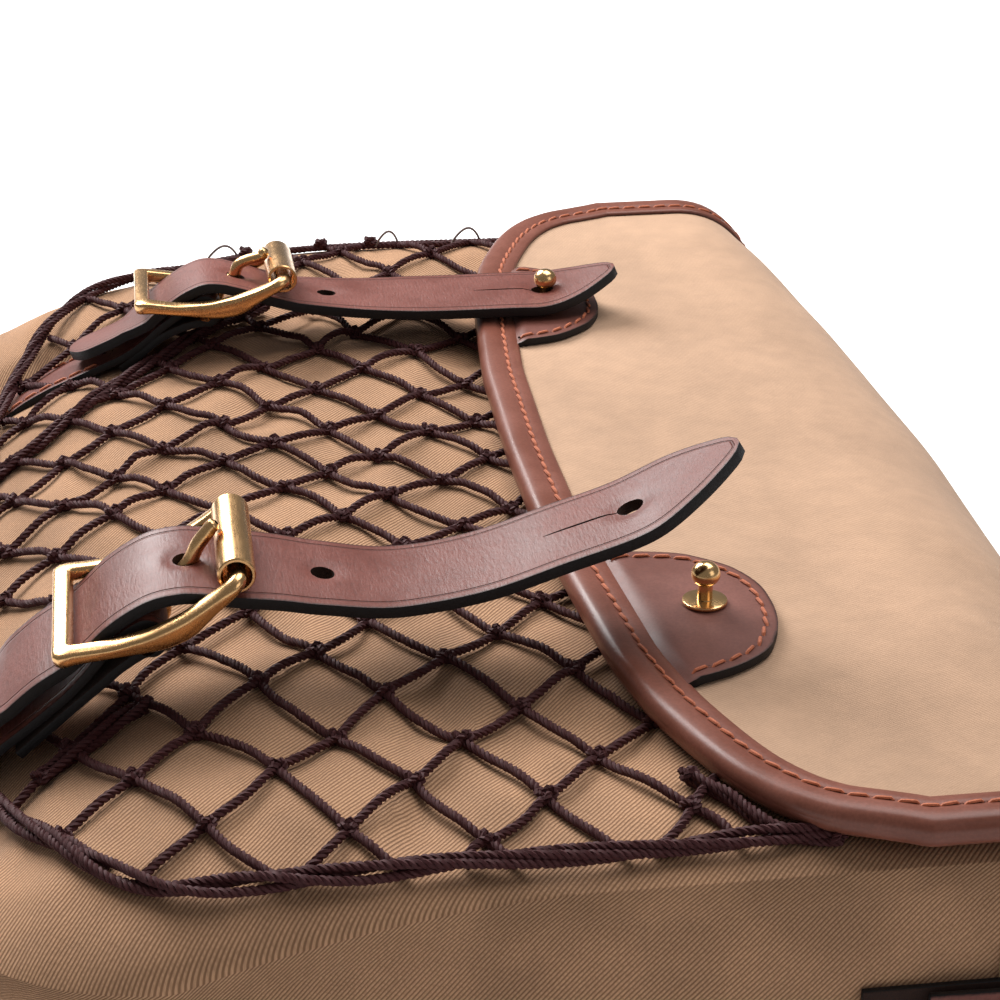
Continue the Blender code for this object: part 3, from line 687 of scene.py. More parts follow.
@dataclass(frozen=True)
class BagForm:
    """The bag's main form, from the same values as the CAD solids."""

    half: float = 205.0
    bottom: float = -146.0
    mouth: float = 100.0
    corner: float = 62.0
    wall: float = 2.2
    gap: float = CLEARANCE
    flap_top: float = 84.9
    flap_thick: float = 2.2
    tab_thick: float = 2.2
    fold_reach: float = 48.0
    fold_taper: float = 0.38
    fold_power: float = 2.3
    fold_share: float = 10.0 / 13.0
    roll: float = 3.2
    lip: float = 9.0
    drop: float = 3.0
    edge_half: float = 208.2
    edge: tuple[Spot, ...] = (
        (14.2, 0.0), (15.2, 57.0), (18.0, 92.0), (21.2, 127.0), (26.0, 150.0), (31.0, 165.0),
        (36.0, 178.0), (42.0, 189.0), (51.0, 199.0), (63.0, 205.5), (80.0, 208.2),
    )

    def bottom_edge(self, y: float) -> float:
        """Give the outline's x at a distance y from the middle."""
        past = max(abs(y) - (self.half - self.corner), 0.0)
        return self.bottom + self.corner - math.sqrt(max(self.corner ** 2 - past ** 2, 0.0))

    def half_width(self, x: float) -> float:
        """Give the half width at x, smaller round the bottom corners."""
        short = min(max(self.bottom + self.corner - x, 0.0), self.corner)
        return self.half - self.corner + math.sqrt(self.corner ** 2 - short ** 2)

    def front(self, x: float, y: float) -> float:
        """Give the smooth height of the front panel."""
        along = min(max((x - self.bottom_edge(y)) / 90.0, 0.0), 1.0)
        rise = (1 - (1 - along) ** 1.8) ** 0.95
        puff = 12.0 * ease(abs(y), 128.0, 178.0) * (1 - rise)
        crown = 2.0 * (1 - min(abs(y) / self.half, 1.0) ** 4)
        drop = self.drop * min(abs(y) / self.half_width(x), 1.0) ** 30 * rise
        return 45.0 + puff + 32.0 * rise + crown - drop

    def ripple(self, x: float, y: float) -> float:
        """Give how far the slack front canvas puckers from its smooth height."""
        wide = noise.noise(Vector((x / 30 + y / 90, y / 42 - x / 120, 3.1)))
        fold = 1 - abs(noise.noise(Vector((x / 19 - y / 50, y / 52 + x / 52, 8.4)))) * 2
        small = noise.noise(Vector((x / 9, y / 13, 5.5)))
        depth = 2.4 * wide + 1.6 * (fold - 0.6) + 0.6 * small
        fade = ease(x, self.bottom, self.bottom + 26)
        return min(depth, 1.1) * fade * (1 - ease(abs(y), 175, 203))

    def press(self, x: float, y: float) -> float:
        """Give how far the far lower strap presses into the canvas under it."""
        off = y - 121.5
        if abs(off) > 28 or x > -84:
            return 0.0
        depth = 3.4 + 0.155 * min(off, 16.0)
        along = ease(-x, 84, 100) * (1 - ease(-x, 139, 147))
        return max(depth, 0.0) * (1 - ease(abs(off), 15, 27)) * along

    def cloth(self, x: float, y: float) -> float:
        """Give the height of the front canvas with its puckers."""
        return self.front(x, y) + self.ripple(x, y) - self.press(x, y)

    def flap_edge_x(self, y: float) -> float:
        """Give the x of the binding's outer edge at a distance y from the middle."""
        scaled = abs(y) * self.edge_half / self.half
        soft = sum(read_table(self.edge, 1, abs(scaled + d)) for d in (-5.0, -2.5, 0, 2.5, 5.0))
        return soft / 5

    def flap_point(self, y: float, v: float) -> Vector:
        """Give a point of the flap's middle surface, from the back over the fold to the edge."""
        top = self.flap_top - 1.2 * (y / self.half) ** 4
        low = self.flap_thick / 2
        start = self.mouth + self.gap
        if v < self.fold_share:
            turn = math.pi * (v / self.fold_share - 0.5)
            reach = abs(math.cos(turn)) ** (2 / self.fold_power)
            rise = math.copysign(abs(math.sin(turn)) ** (2 / self.fold_power), turn)
            x = start + self.fold_reach * (1 - self.fold_taper * (y / self.half) ** 2) * reach
            return Vector((x, y, (top + low) / 2 + (top - low) / 2 * rise))
        share = (v - self.fold_share) / (1 - self.fold_share)
        return Vector((start + (self.flap_edge_x(y) + self.roll - start) * share, y, top))

    def tab_top(self) -> float:
        """Give the height of the stud tabs' upper face."""
        return self.flap_top + self.flap_thick / 2 + self.gap + self.tab_thick


@dataclass
class Body:
    """The hollow canvas pouch, with puckers on its front and hemmed seams."""

    form: BagForm
    front_steps: int = 104
    side_steps: int = 8
    back_steps: int = 20
    length_steps: int = 84
    back_round: float = 10.0
    end_bulge: float = 1.5
    end_round: float = 12.0
    end_fold: float = 9.0

    def ring(self, x: float, inset: float) -> list[Vector]:
        """List one section from the +Y shoulder over the front and round the back."""
        form = self.form
        half = form.half_width(max(x, form.bottom + 1.0)) - inset
        inside = max(x, form.bottom)
        ring = []
        for k in range(self.front_steps + 1):
            y = half * math.sin(math.pi / 2 * (1 - 2 * k / self.front_steps))
            ring.append(Vector((x, y, form.cloth(inside, y) - inset)))
        top = ring[-1].z
        side = []
        for k in range(1, self.side_steps + 1):
            share = k / self.side_steps
            sway = 0.9 * noise.noise(Vector((x / 40, share * 2.2, 1.7))) * math.sin(math.pi * share)
            bulge = 2.0 * math.sin(math.pi * share) + sway if inset < 1 else 0.0
            side.append((half + bulge, top + (self.back_round + inset - top) * share))
        for k in range(1, 5):
            turn = math.pi / 2 * k / 4
            side.append((half - self.back_round + self.back_round * math.cos(turn),
                         inset + self.back_round * (1 - math.sin(turn))))
        ring += [Vector((x, -y, z)) for y, z in side]
        corner = half - self.back_round
        for k in range(1, self.back_steps):
            ring.append(Vector((x, corner * (2 * k / self.back_steps - 1), inset)))
        ring += [Vector((x, y, z)) for y, z in reversed(side)]
        return ring + [ring[0].copy()]

    def rings(self) -> list[list[Vector]]:
        """List the sections from inside the bottom face to the mouth."""
        form = self.form
        rings = [self.ring(form.bottom - self.end_bulge - 0.9 * (1 - k / 3),
                           self.end_round + self.end_fold * (1 - k / 3)) for k in range(3)]
        for k in range(7):
            turn = math.pi / 2 * k / 6
            rings.append(self.ring(form.bottom - self.end_bulge + 4.0 * (1 - math.cos(turn)),
                                   self.end_round * (1 - math.sin(turn))))
        start = form.bottom + 2.5
        for k in range(1, self.length_steps + 1):
            share = (k / self.length_steps) ** 1.35
            rings.append(self.ring(start + (form.mouth - start) * share, 0.0))
        return rings

    def build(self, shop: Workshop) -> None:
        """Build the pouch."""
        rings = self.rings()
        rows, columns = len(rings) - 1, len(rings[0]) - 1
        around = running_lengths(rings[-1])
        along = running_lengths([ring[self.front_steps // 2] for ring in rings])

        def place(u: float, v: float) -> tuple[Vector, Spot]:
            j, k = round(v * rows), round(u * columns)
            point = rings[j][k]
            front = k <= self.front_steps
            return point, (-point.y if front else around[k] - self.form.half, along[j])

        bm = bmesh.new()
        shape_grid(bm, columns, rows, place, wrap=True)
        rim = [e for e in bm.edges if e.is_boundary and e.verts[0].co.x < self.form.bottom * MM]
        bmesh.ops.holes_fill(bm, edges=rim, sides=0)
        body = shop.piece("canvas_body", bm, ("body_canvas", "raw_cloth", "body_canvas"),
                          ("body",), sharp=60)
        shop.thicken(body, self.form.wall, -1.0)
        self.seams(shop)

    def seams(self, shop: Workshop) -> None:
        """Sew the gusset seams along both sides, and the hem round the mouth."""
        form, bm = self.form, bmesh.new()
        stitches = Stitching(pitch=2.9, radius=0.3, slant=0.0, holes=False)
        for sign in (-1, 1):
            path, normals = [], []
            for k in range(60):
                x = form.bottom + 4 + (form.mouth - 10 - form.bottom) * k / 59
                turn = math.radians(35)
                y = form.half_width(x) - self.back_round + self.back_round * math.cos(turn)
                path.append(Vector((x, sign * y, self.back_round * (1 - math.sin(turn)))))
                normals.append(Vector((0, sign * math.cos(turn), -math.sin(turn))))
            stitches.add_to(bm, path, normals)
            path = [Vector((form.mouth - 7.0, sign * (form.half + 0.35 + 1.9 * math.sin(
                math.pi * (68 - z) / 58)), z)) for z in range(12, 67, 3)]
            stitches.add_to(bm, path, [Vector((0, sign, 0))] * len(path))
        shop.piece("body_seams", bm, ("canvas_thread",))


@dataclass
class Flap:
    """The canvas flap: one sheet from the back, round the fold and over the front."""

    form: BagForm
    columns: int = 96
    rows: int = 90

    def swell(self, y: float, v: float, point: Vector) -> Vector:
        """Give how far the loose cloth stands off its smooth surface."""
        form = self.form
        fade = ease(form.half - abs(y), 12, 45) * ease(v, 0.05, 0.2)
        if v > form.fold_share:
            fade *= ease(point.x - form.flap_edge_x(y), 16, 40)
        near_studs = min(math.hypot(point.x - lie.stud[0], y - lie.stud[1]) for lie in LIES)
        fade *= ease(near_studs, 30, 55) if point.z > 60 else 1.0
        wide = noise.noise(Vector((point.x / 46 + y / 120, y / 75, point.z / 60 + 2.0)))
        fine = noise.noise(Vector((point.x / 17, y / 30, point.z / 20 + 7.0)))
        return (1.5 * wide + 0.3 * fine) * fade * Vector((0.35, 0.0, 1.0 if point.z > 50 else 0.0))

    def build(self, shop: Workshop) -> None:
        """Build the flap as one sheet of cloth."""
        form, steps = self.form, 2 * self.rows
        lengths = running_lengths([form.flap_point(0, k / steps) for k in range(steps + 1)])

        def place(u: float, v: float) -> tuple[Vector, Spot]:
            y = form.half * math.sin(math.pi / 2 * (2 * u - 1))
            point = form.flap_point(y, v)
            return point + self.swell(y, v, point), (y, lengths[round(steps * v)])

        bm = bmesh.new()
        shape_grid(bm, self.columns, self.rows, place)
        area = sum(face.calc_area() for face in bm.faces)
        flap = shop.piece("canvas_flap", bm, ("flap_canvas", "raw_cloth", "flap_canvas"),
                          ("flap",), sharp=60)
        shop.thicken(flap, form.flap_thick)


@dataclass
class Binding:
    """The rolled leather binding along the flap's free edge, with its saddle stitching."""

    form: BagForm
    stitch_in: float = -4.7

    def stations(self) -> list[tuple[float, float]]:
        """List y and v along the free edge, close together."""
        rows, columns = 46, 120
        side = [(-self.form.half, 0.03 + 0.97 * k / rows) for k in range(1, rows)]
        front = [(self.form.half * math.sin(math.pi / 2 * (2 * k / columns - 1)), 1.0)
                 for k in range(columns + 1)]
        return side + front + [(-y, v) for y, v in reversed(side)]

    def frames(self) -> list[tuple[Vector, Vector, Vector]]:
        """List each station's point, outward direction and normal."""
        form, found = self.form, []
        stations = self.stations()
        points = [form.flap_point(y, v) for y, v in stations]
        for k, (y, v) in enumerate(stations):
            step = 0.01
            along = form.flap_point(y, min(v + step, 1.0)) - form.flap_point(y, v - step)
            across = form.flap_point(y + step, v) - form.flap_point(y - step, v)
            normal = -along.cross(across).normalized()
            run = points[min(k + 2, len(points) - 1)] - points[max(k - 2, 0)]
            outward = run.normalized().cross(normal).normalized()
            if outward.dot(Vector((-1.0, points[k].y / 100, 0.0))) < 0:
                outward.negate()
            found.append((points[k], outward, normal))
        for k in range(len(found)):
            if found[k][2].dot(found[max(k - 1, 0)][2]) < 0:
                found[k] = (found[k][0], found[k][1], -found[k][2])
        return found

    def section(self) -> list[tuple[float, float, float]]:
        """List the section's outward and upward offsets, and the distance from the lip."""
        lip, roll = -self.form.lip, self.form.roll
        upper = [(lip, 1.25), (lip, 1.9), (lip + 0.5, 2.35), (lip + 2.2, 2.55),
                 (self.stitch_in - 0.9, 2.6), (self.stitch_in, 2.3), (self.stitch_in + 0.9, 2.7),
                 (-2.4, 3.2)]
        for k in range(9):
            turn = math.radians(75 - 150 * k / 8)
            upper.append((-0.1 + (roll + 0.1) * math.cos(turn), 3.3 * math.sin(turn)))
        lower = [(b, -n) for b, n in reversed(upper[:8])]
        outline, distance = [], 0.0
        for b, n in upper + lower:
            if outline:
                distance += math.hypot(b - outline[-1][0], n - outline[-1][1])
            outline.append((b, n, distance))
        return outline

    def build(self, shop: Workshop) -> None:
        """Build the binding and its stitches."""
        frames, section = self.frames(), self.section()
        rows, columns = len(frames) - 1, len(section) - 1
        lengths = running_lengths([point for point, _, _ in frames])
        total = section[-1][2]

        def place(u: float, v: float) -> tuple[Vector, Spot]:
            point, outward, normal = frames[round(v * rows)]
            b, n, distance = section[round(u * columns)]
            return (point + outward * b + normal * n,
                    (lengths[round(v * rows)], min(distance, total - distance)))

        bm = bmesh.new()
        shape_grid(bm, columns, rows, place)
        bmesh.ops.solidify(bm, geom=bm.faces[:], thickness=0.9 * MM)
        for vert in bm.verts:
            vert.co.z = max(vert.co.z, 0.1 * MM)
        bmesh.ops.recalc_face_normals(bm, faces=bm.faces)
        shop.piece("flap_binding_leather", bm, ("binding_leather",), ("flap_binding",), sharp=50)
        bm = bmesh.new()
        path = [p + outward * self.stitch_in + normal * 2.42 for p, outward, normal in frames]
        Stitching().add_to(bm, path[3:-3], [f[2] for f in frames][3:-3])
        shop.piece("binding_stitches", bm, STITCHES)


@dataclass
class StudTab:
    """A half-round leather tab with black edges, stitched round its curved side."""

    form: BagForm
    side: Side
    stud: Spot
    inset: float = 3.0
    skive: float = 1.6
    row: tuple[Spot, ...] = (
        (-14.0, -34.9), (-10.4, -33.8), (-5.7, -32.1), (-0.5, -29.7), (4.2, -26.5), (7.9, -22.8),
        (10.2, -18.1), (12.2, -12.5), (13.2, -6.0), (13.3, -0.3), (12.9, 5.5), (11.6, 10.4),
        (9.4, 15.0), (7.2, 18.1), (2.4, 22.4), (-1.2, 24.9), (-5.7, 26.4), (-12.0, 27.6),
        (-18.0, 28.0),
    )

    def lip(self, y: float) -> float:
        """Give the x at which the tab meets the binding's lip."""
        return self.form.flap_edge_x(y) + self.form.roll + self.form.lip - 0.6

    def curve(self, out: float, clear: float) -> list[Vector]:
        """List the stitch row moved outwards, from the tab's outer end to its inner end.

        Args:
            out: how far the row is moved.
            clear: the least distance from the binding's lip.

        Returns:
            The points, with z at 0.
        """
        sign = -1 if self.side is Side.NEAR else 1
        row = smooth_path([(self.stud[0] + x, self.stud[1] - sign * y, 0.0)
                           for x, y in self.row], 4)
        moved = []
        for k, point in enumerate(row):
            run = (row[min(k + 1, len(row) - 1)] - row[max(k - 1, 0)]).normalized()
            spot = point + Vector((run.y, -run.x, 0.0)) * (-sign * out)
            if spot.x > self.lip(spot.y) + clear:
                moved.append(spot)
        return moved

    def middle(self, x: float, y: float) -> float:
        """Give the height of the tab's middle surface, thinned where it meets the lip."""
        level = self.form.tab_top() - self.form.tab_thick / 2
        return level - self.skive * (1 - ease(x - self.lip(y), -0.5, 3.4))

    def build(self, shop: Workshop) -> None:
        """Build the tab and its stitches."""
        rim = self.curve(self.inset, 1.6)
        count = len(rim) - 1

        def place(u: float, v: float) -> tuple[Vector, Spot]:
            y = rim[0].y + (rim[-1].y - rim[0].y) * u
            point = Vector((self.lip(y), y, 0.0)).lerp(rim[round(u * count)], v)
            away = min((point - p).length for p in rim)
            point.z = self.middle(point.x, point.y)
            return point, (point.y, away)

        bm = bmesh.new()
        # u runs along +Y on the near tab, so its grid is turned to face up.
        near = self.side is Side.NEAR
        shape_grid(bm, count, 18, lambda u, v: place(1 - u if near else u, v))
        name = "stud_tab_" + self.side.value
        tab = shop.piece(name + "_leather", bm, ("tab_leather", "black_edge", "flesh_side_and_hole_shade"),
                         (name,))
        shop.thicken(tab, self.form.tab_thick, bevel=0.45)
        path = [p + UP * (self.middle(p.x, p.y) + self.form.tab_thick / 2)
                for p in self.curve(0.0, 1.0)]
        bm = bmesh.new()
        Stitching(pitch=5.1).add_to(bm, path, [UP] * len(path))
        shop.piece(name + "_stitches", bm, STITCHES)


@dataclass
class BallStud:
    """A turned ball stud on its round base."""

    form: BagForm
    side: Side
    at: Spot
    profile: tuple[Spot, ...] = (
        (0.02, 10.8), (0.7, 10.74), (1.4, 10.55), (2.1, 10.2), (2.75, 9.65), (3.25, 8.9),
        (3.54, 8.05), (3.58, 7.3), (3.4, 6.5), (3.0, 5.85), (2.4, 5.3), (1.95, 5.0), (1.85, 4.6),
        (1.85, 1.1), (2.0, 0.95), (5.1, 0.9), (5.45, 0.78), (5.55, 0.5), (5.52, 0.15), (5.4, 0.0),
        (0.02, 0.0),
    )

    def build(self, shop: Workshop) -> None:
        """Turn the stud about its own axis."""
        bm = bmesh.new()
        verts = [bm.verts.new((r * MM, 0, z * MM)) for r, z in self.profile]
        edges = [bm.edges.new(pair) for pair in zip(verts, verts[1:])]
        bmesh.ops.spin(bm, geom=verts + edges, axis=(0, 0, 1), cent=(0, 0, 0),
                       angle=2 * math.pi, steps=48, use_merge=True)
        bmesh.ops.remove_doubles(bm, verts=bm.verts, dist=0.03 * MM)
        bmesh.ops.recalc_face_normals(bm, faces=bm.faces)
        lift = self.form.tab_top() + self.form.gap
        bmesh.ops.translate(bm, verts=bm.verts, vec=Vector((*self.at, lift)) * MM)
        for face in bm.faces:
            face.smooth = True
        name = "stud_" + self.side.value
        shop.piece(name + "_brass", bm, ("turned_brass",), (name,), sharp=35)


@dataclass(frozen=True)
class Lie:
    """How one fastening lies: its lower bar, its tilt, lean and roll, and its strap's path."""

    side: Side
    bar: tuple[float, float, float]
    tilt: float
    lean: float
    rolls: tuple[Spot, ...]
    tail_rolls: tuple[Spot, ...]
    stud: Spot
    strap: tuple[Spot, ...]
    chape_return: tuple[Spot, ...]
    chape_run: tuple[Spot, ...]
    punches: tuple[float, ...]
    stud_hole: float

    def place(self, x: float, y: float, z: float, tail: bool = False) -> Vector:
        """Put a point of the fastening's own frame in the bag's frame.

        Args:
            x: the distance along the strap from the lower bar.
            y: the distance across it.
            z: the distance above the lower bar.
            tail: roll it as the strap's own free end.

        Returns:
            The point.
        """
        lean = math.tan(math.radians(self.lean)) * max(x, -30.0)
        roll = math.tan(math.radians(read_table(self.tail_rolls if tail else self.rolls, 0, x)))
        return Vector((self.bar[0] + x, self.bar[1] + y + lean, self.bar[2] + z + roll * y))

    def tilted(self, u: float, v: float, w: float) -> Vector:
        """Put a point of the tilted buckle: u along it, v across it, w out of it."""
        tilt = math.radians(self.tilt)
        return self.place(u * math.cos(tilt) - w * math.sin(tilt), v,
                          u * math.sin(tilt) + w * math.cos(tilt))


LIES = (
    Lie(Side.NEAR, (-105.6, -105.0, 96.5), 21.4, 0.0,
        ((-40.0, 0.0), (-10.0, 4.0), (45.0, 4.0), (85.0, 0.0)),
        ((-26.0, -12.0), (-13.0, 4.0), (45.0, 4.0), (85.0, 0.0)), (48.0, -105.0),
        ((-25.0, -28.6), (-15.4, -17.8), (-7.0, -10.2), (0.0, -5.6), (5.0, -1.5), (12.0, 5.0),
         (20.0, 9.8), (27.0, 11.3), (33.0, 10.9), (40.5, 9.5), (50.0, 8.0), (61.0, 5.7),
         (78.0, 3.5), (98.0, 6.0), (117.0, 12.0), (135.0, 18.0), (148.0, 25.5), (161.0, 33.5)),
        ((-12.0, -27.6), (-5.0, -21.5), (2.0, -15.5), (8.0, -10.5), (13.0, -6.3)),
        ((12.0, 0.4), (5.0, -7.8), (0.0, -13.0), (-7.0, -18.8), (-15.4, -25.5), (-24.0, -33.0),
         (-31.0, -38.5), (-37.0, -43.0), (-41.8, -47.5), (-43.4, -54.0), (-43.4, -62.0),
         (-43.4, -72.0)),
        (29.0, 61.0), 135.0),
    Lie(Side.FAR, (-83.5, 118.5, 94.4), 9.7, -5.9,
        ((-64.0, 0.0), (-52.0, -6.0), (-40.0, -10.0), (-12.0, -10.0), (-3.0, -5.0), (45.0, -5.0),
         (85.0, 0.0)),
        ((-6.0, -12.5), (2.0, -5.0), (45.0, -5.0), (85.0, 0.0)), (41.7, 105.8),
        ((-23.0, -20.6), (-14.0, -16.6), (-7.0, -13.2), (0.0, -8.3), (5.0, -3.8), (9.6, -0.3),
         (14.1, 2.7), (19.1, 4.8), (24.0, 4.8), (28.4, 3.8), (33.0, 2.5), (44.0, -0.8),
         (52.0, -2.0), (70.0, -3.2), (92.0, -3.2), (112.0, -2.6), (124.3, -2.2), (135.0, 0.4),
         (147.0, 5.2)),
        ((-8.0, -22.6), (-2.0, -17.4), (4.0, -12.4), (9.0, -9.6), (14.0, -7.6)),
        ((12.0, -3.6), (5.0, -8.6), (0.0, -13.2), (-8.0, -19.4), (-14.3, -23.0), (-25.5, -28.2),
         (-30.5, -30.6), (-36.5, -33.8), (-42.0, -37.3), (-47.5, -40.7), (-55.5, -44.2),
         (-61.5, -46.8), (-65.6, -51.5), (-67.0, -57.0), (-67.0, -63.0), (-67.0, -70.0)),
        (29.0, 57.0), 124.3),
)


@dataclass
class Buckle:
    """A bowed roller buckle: frame with a centre bar, roller and prong."""

    lie: Lie
    length: float = 43.5
    half: float = 19.0
    wire: float = 2.4
    bow: float = 6.5
    bar_at: float = 0.42
    roller: float = 4.45
    roller_bore: float = 3.65
    roller_half: float = 15.8
    prong: float = 1.85
    upper: tuple[Spot, ...] = ((0.0, 2.0), (4.0, 0.7), (11.0, -1.4), (20.0, -2.4), (29.0, -1.9),
                               (36.0, -0.6), (41.0, 0.8), (43.5, 2.0))
    lower: tuple[Spot, ...] = ((0.0, -2.0), (4.0, -2.8), (10.0, -4.4), (22.0, -7.8),
                               (28.5, -8.0), (34.0, -5.2), (38.0, -3.6), (42.0, -2.6),
                               (43.5, -2.0))

    def side_bar(self, u: float) -> Spot:
        """Give the middle and the half height of the side bars at u."""
        near = [min(max(u + step, 0.0), self.length) for step in (-2.0, -1.0, 0.0, 1.0, 2.0)]
        high = sum(read_table(self.upper, 0, at) for at in near) / 5
        low = sum(read_table(self.lower, 0, at) for at in near) / 5
        return (high + low) / 2, (high - low) / 2

    def sag(self, u: float) -> float:
        """Give how far the side bars dip between the lower bar and the roller."""
        return -self.bow * math.sin(math.pi * min(max(u / self.length, 0.0), 1.0))

    def bar_centre(self) -> Spot:
        """Give the centre bar's x and z in the fastening's own frame."""
        tilt = math.radians(self.lie.tilt)
        u, w = self.bar_at * self.length, self.sag(self.bar_at * self.length)
        return u * math.cos(tilt) - w * math.sin(tilt), u * math.sin(tilt) + w * math.cos(tilt)

    def build(self, shop: Workshop) -> None:
        """Build the frame, the roller and the prong."""
        self.build_frame(shop)
        self.build_roller(shop)
        self.build_prong(shop)

    def build_frame(self, shop: Workshop) -> None:
        """Sweep the frame's section round its outline, and the centre bar across it."""
        corner, steps = 2.4, 5
        start = [(corner * (1 - math.cos(t)), -self.half + corner * (1 - math.sin(t)))
                 for t in (math.pi / 2 * k / steps for k in range(steps + 1))]
        run = [(corner + (self.length - 2 * corner) * k / 20, -self.half) for k in range(1, 20)]
        turned = [(self.length - u, v) for u, v in reversed(start)]
        half = start + run + turned
        outline = half + [(u, -v) for u, v in reversed(half)]
        sides = [self.side_bar(u) for u, _ in outline]
        points = [self.lie.tilted(u, v, side[0]) for (u, v), side in zip(outline, sides)]
        square = [2 * max(1 - u / corner, 0) * max(1 - (self.half - abs(v)) / corner, 0)
                  for u, v in outline]
        count = len(points)

        def section(turn: float, share: float) -> Spot:
            k = round(share * count) % count
            c, s = math.cos(turn), math.sin(turn)
            power = 1 - 0.5 * ease(self.length - outline[k][0], 0.0, 6.0)
            wide = math.copysign(abs(c) ** power, c) * (self.wire - 0.15)
            if c > 0:
                wide *= 1 + 0.5 * square[k] ** 2
            return wide, math.copysign(abs(s) ** power, s) * sides[k][1]

        bm = bmesh.new()
        normal = (self.lie.tilted(0, 0, 1) - self.lie.tilted(0, 0, 0)).normalized()
        Tube(points, section, sides=20, cyclic=True, up=normal).add_to(bm)
        u = self.bar_at * self.length
        ends_at = [self.lie.tilted(u, v, self.sag(u)) for v in (-self.half, 0.0, self.half)]
        Tube(even_path(ends_at, 3.0), round_section(self.wire * 0.88), sides=16,
             up=normal).add_to(bm)
        bmesh.ops.recalc_face_normals(bm, faces=bm.faces)
        name = "buckle_frame_" + self.lie.side.value
        shop.piece(name + "_brass", bm, ("cast_brass",), (name,), sharp=50)

    def build_roller(self, shop: Workshop) -> None:
        """Turn the open roller round the frame's upper bar."""
        bore, outer, half = self.roller_bore, self.roller, self.roller_half
        section = [(bore, -half), (bore + 0.3, -half), (outer - 0.3, -half),
                   (outer, -half + 0.35)]
        section += [(outer, -half + 0.35 + (2 * half - 0.7) * k / 8) for k in range(1, 8)]
        section += [(outer, half - 0.35), (outer - 0.3, half), (bore, half), (bore, 0.0)]
        count = len(section)

        def place(u: float, v: float) -> tuple[Vector, Spot]:
            angle = 2 * math.pi * u
            radius, across = section[round(v * count) % count]
            return self.lie.tilted(self.length + radius * math.cos(angle), across,
                                   radius * math.sin(angle)), (angle, across)

        bm = bmesh.new()
        shape_grid(bm, 40, count, place, wrap=True)
        bmesh.ops.recalc_face_normals(bm, faces=bm.faces)
        name = "roller_" + self.lie.side.value
        shop.piece(name + "_brass", bm, ("cast_brass",), (name,), sharp=35)

    def build_prong(self, shop: Workshop) -> None:
        """Bend the prong: an eye round the bar, up through the strap and against the roller."""
        x, z = self.bar_centre()
        reach = self.wire + CLEARANCE + self.prong
        path = [(x + reach * math.cos(math.radians(a)), z + reach * math.sin(math.radians(a)))
                for a in (150, 195, 240, 285, 330, 15)]
        tilt = math.radians(self.lie.tilt)
        top_x, top_z = self.length * math.cos(tilt), self.length * math.sin(tilt)
        over = self.roller + CLEARANCE + self.prong
        path.append((x + 6.5, z + 5.5))
        strap = smooth_path(self.lie.strap, 2)
        hole = min(strap, key=lambda p: abs(p.x - self.lie.punches[0]))
        path += [(hole.x, hole.y), (hole.x + 2.3, hole.y + 4.6)]
        path += [(top_x + over * math.cos(math.radians(a)),
                  top_z + over * math.sin(math.radians(a))) for a in (150, 138, 124)]
        line = smooth_path([self.lie.place(a, 0.0, b) for a, b in path], 6)

        def section(turn: float, share: float) -> Spot:
            thick = self.prong * (1.0 - 0.12 * ease(share, 0.6, 1.0))
            tip = math.sqrt(max(1 - ease(share, 0.95, 1.0) ** 2 * 0.85, 0.0))
            return thick * tip * math.cos(turn), thick * 1.15 * tip * math.sin(turn)

        bm = bmesh.new()
        Tube(line, section, sides=14, up=Vector((0, 1, 0))).add_to(bm)
        bmesh.ops.recalc_face_normals(bm, faces=bm.faces)
        name = "prong_" + self.lie.side.value
        shop.piece(name + "_brass", bm, ("cast_brass",), (name,), sharp=50)


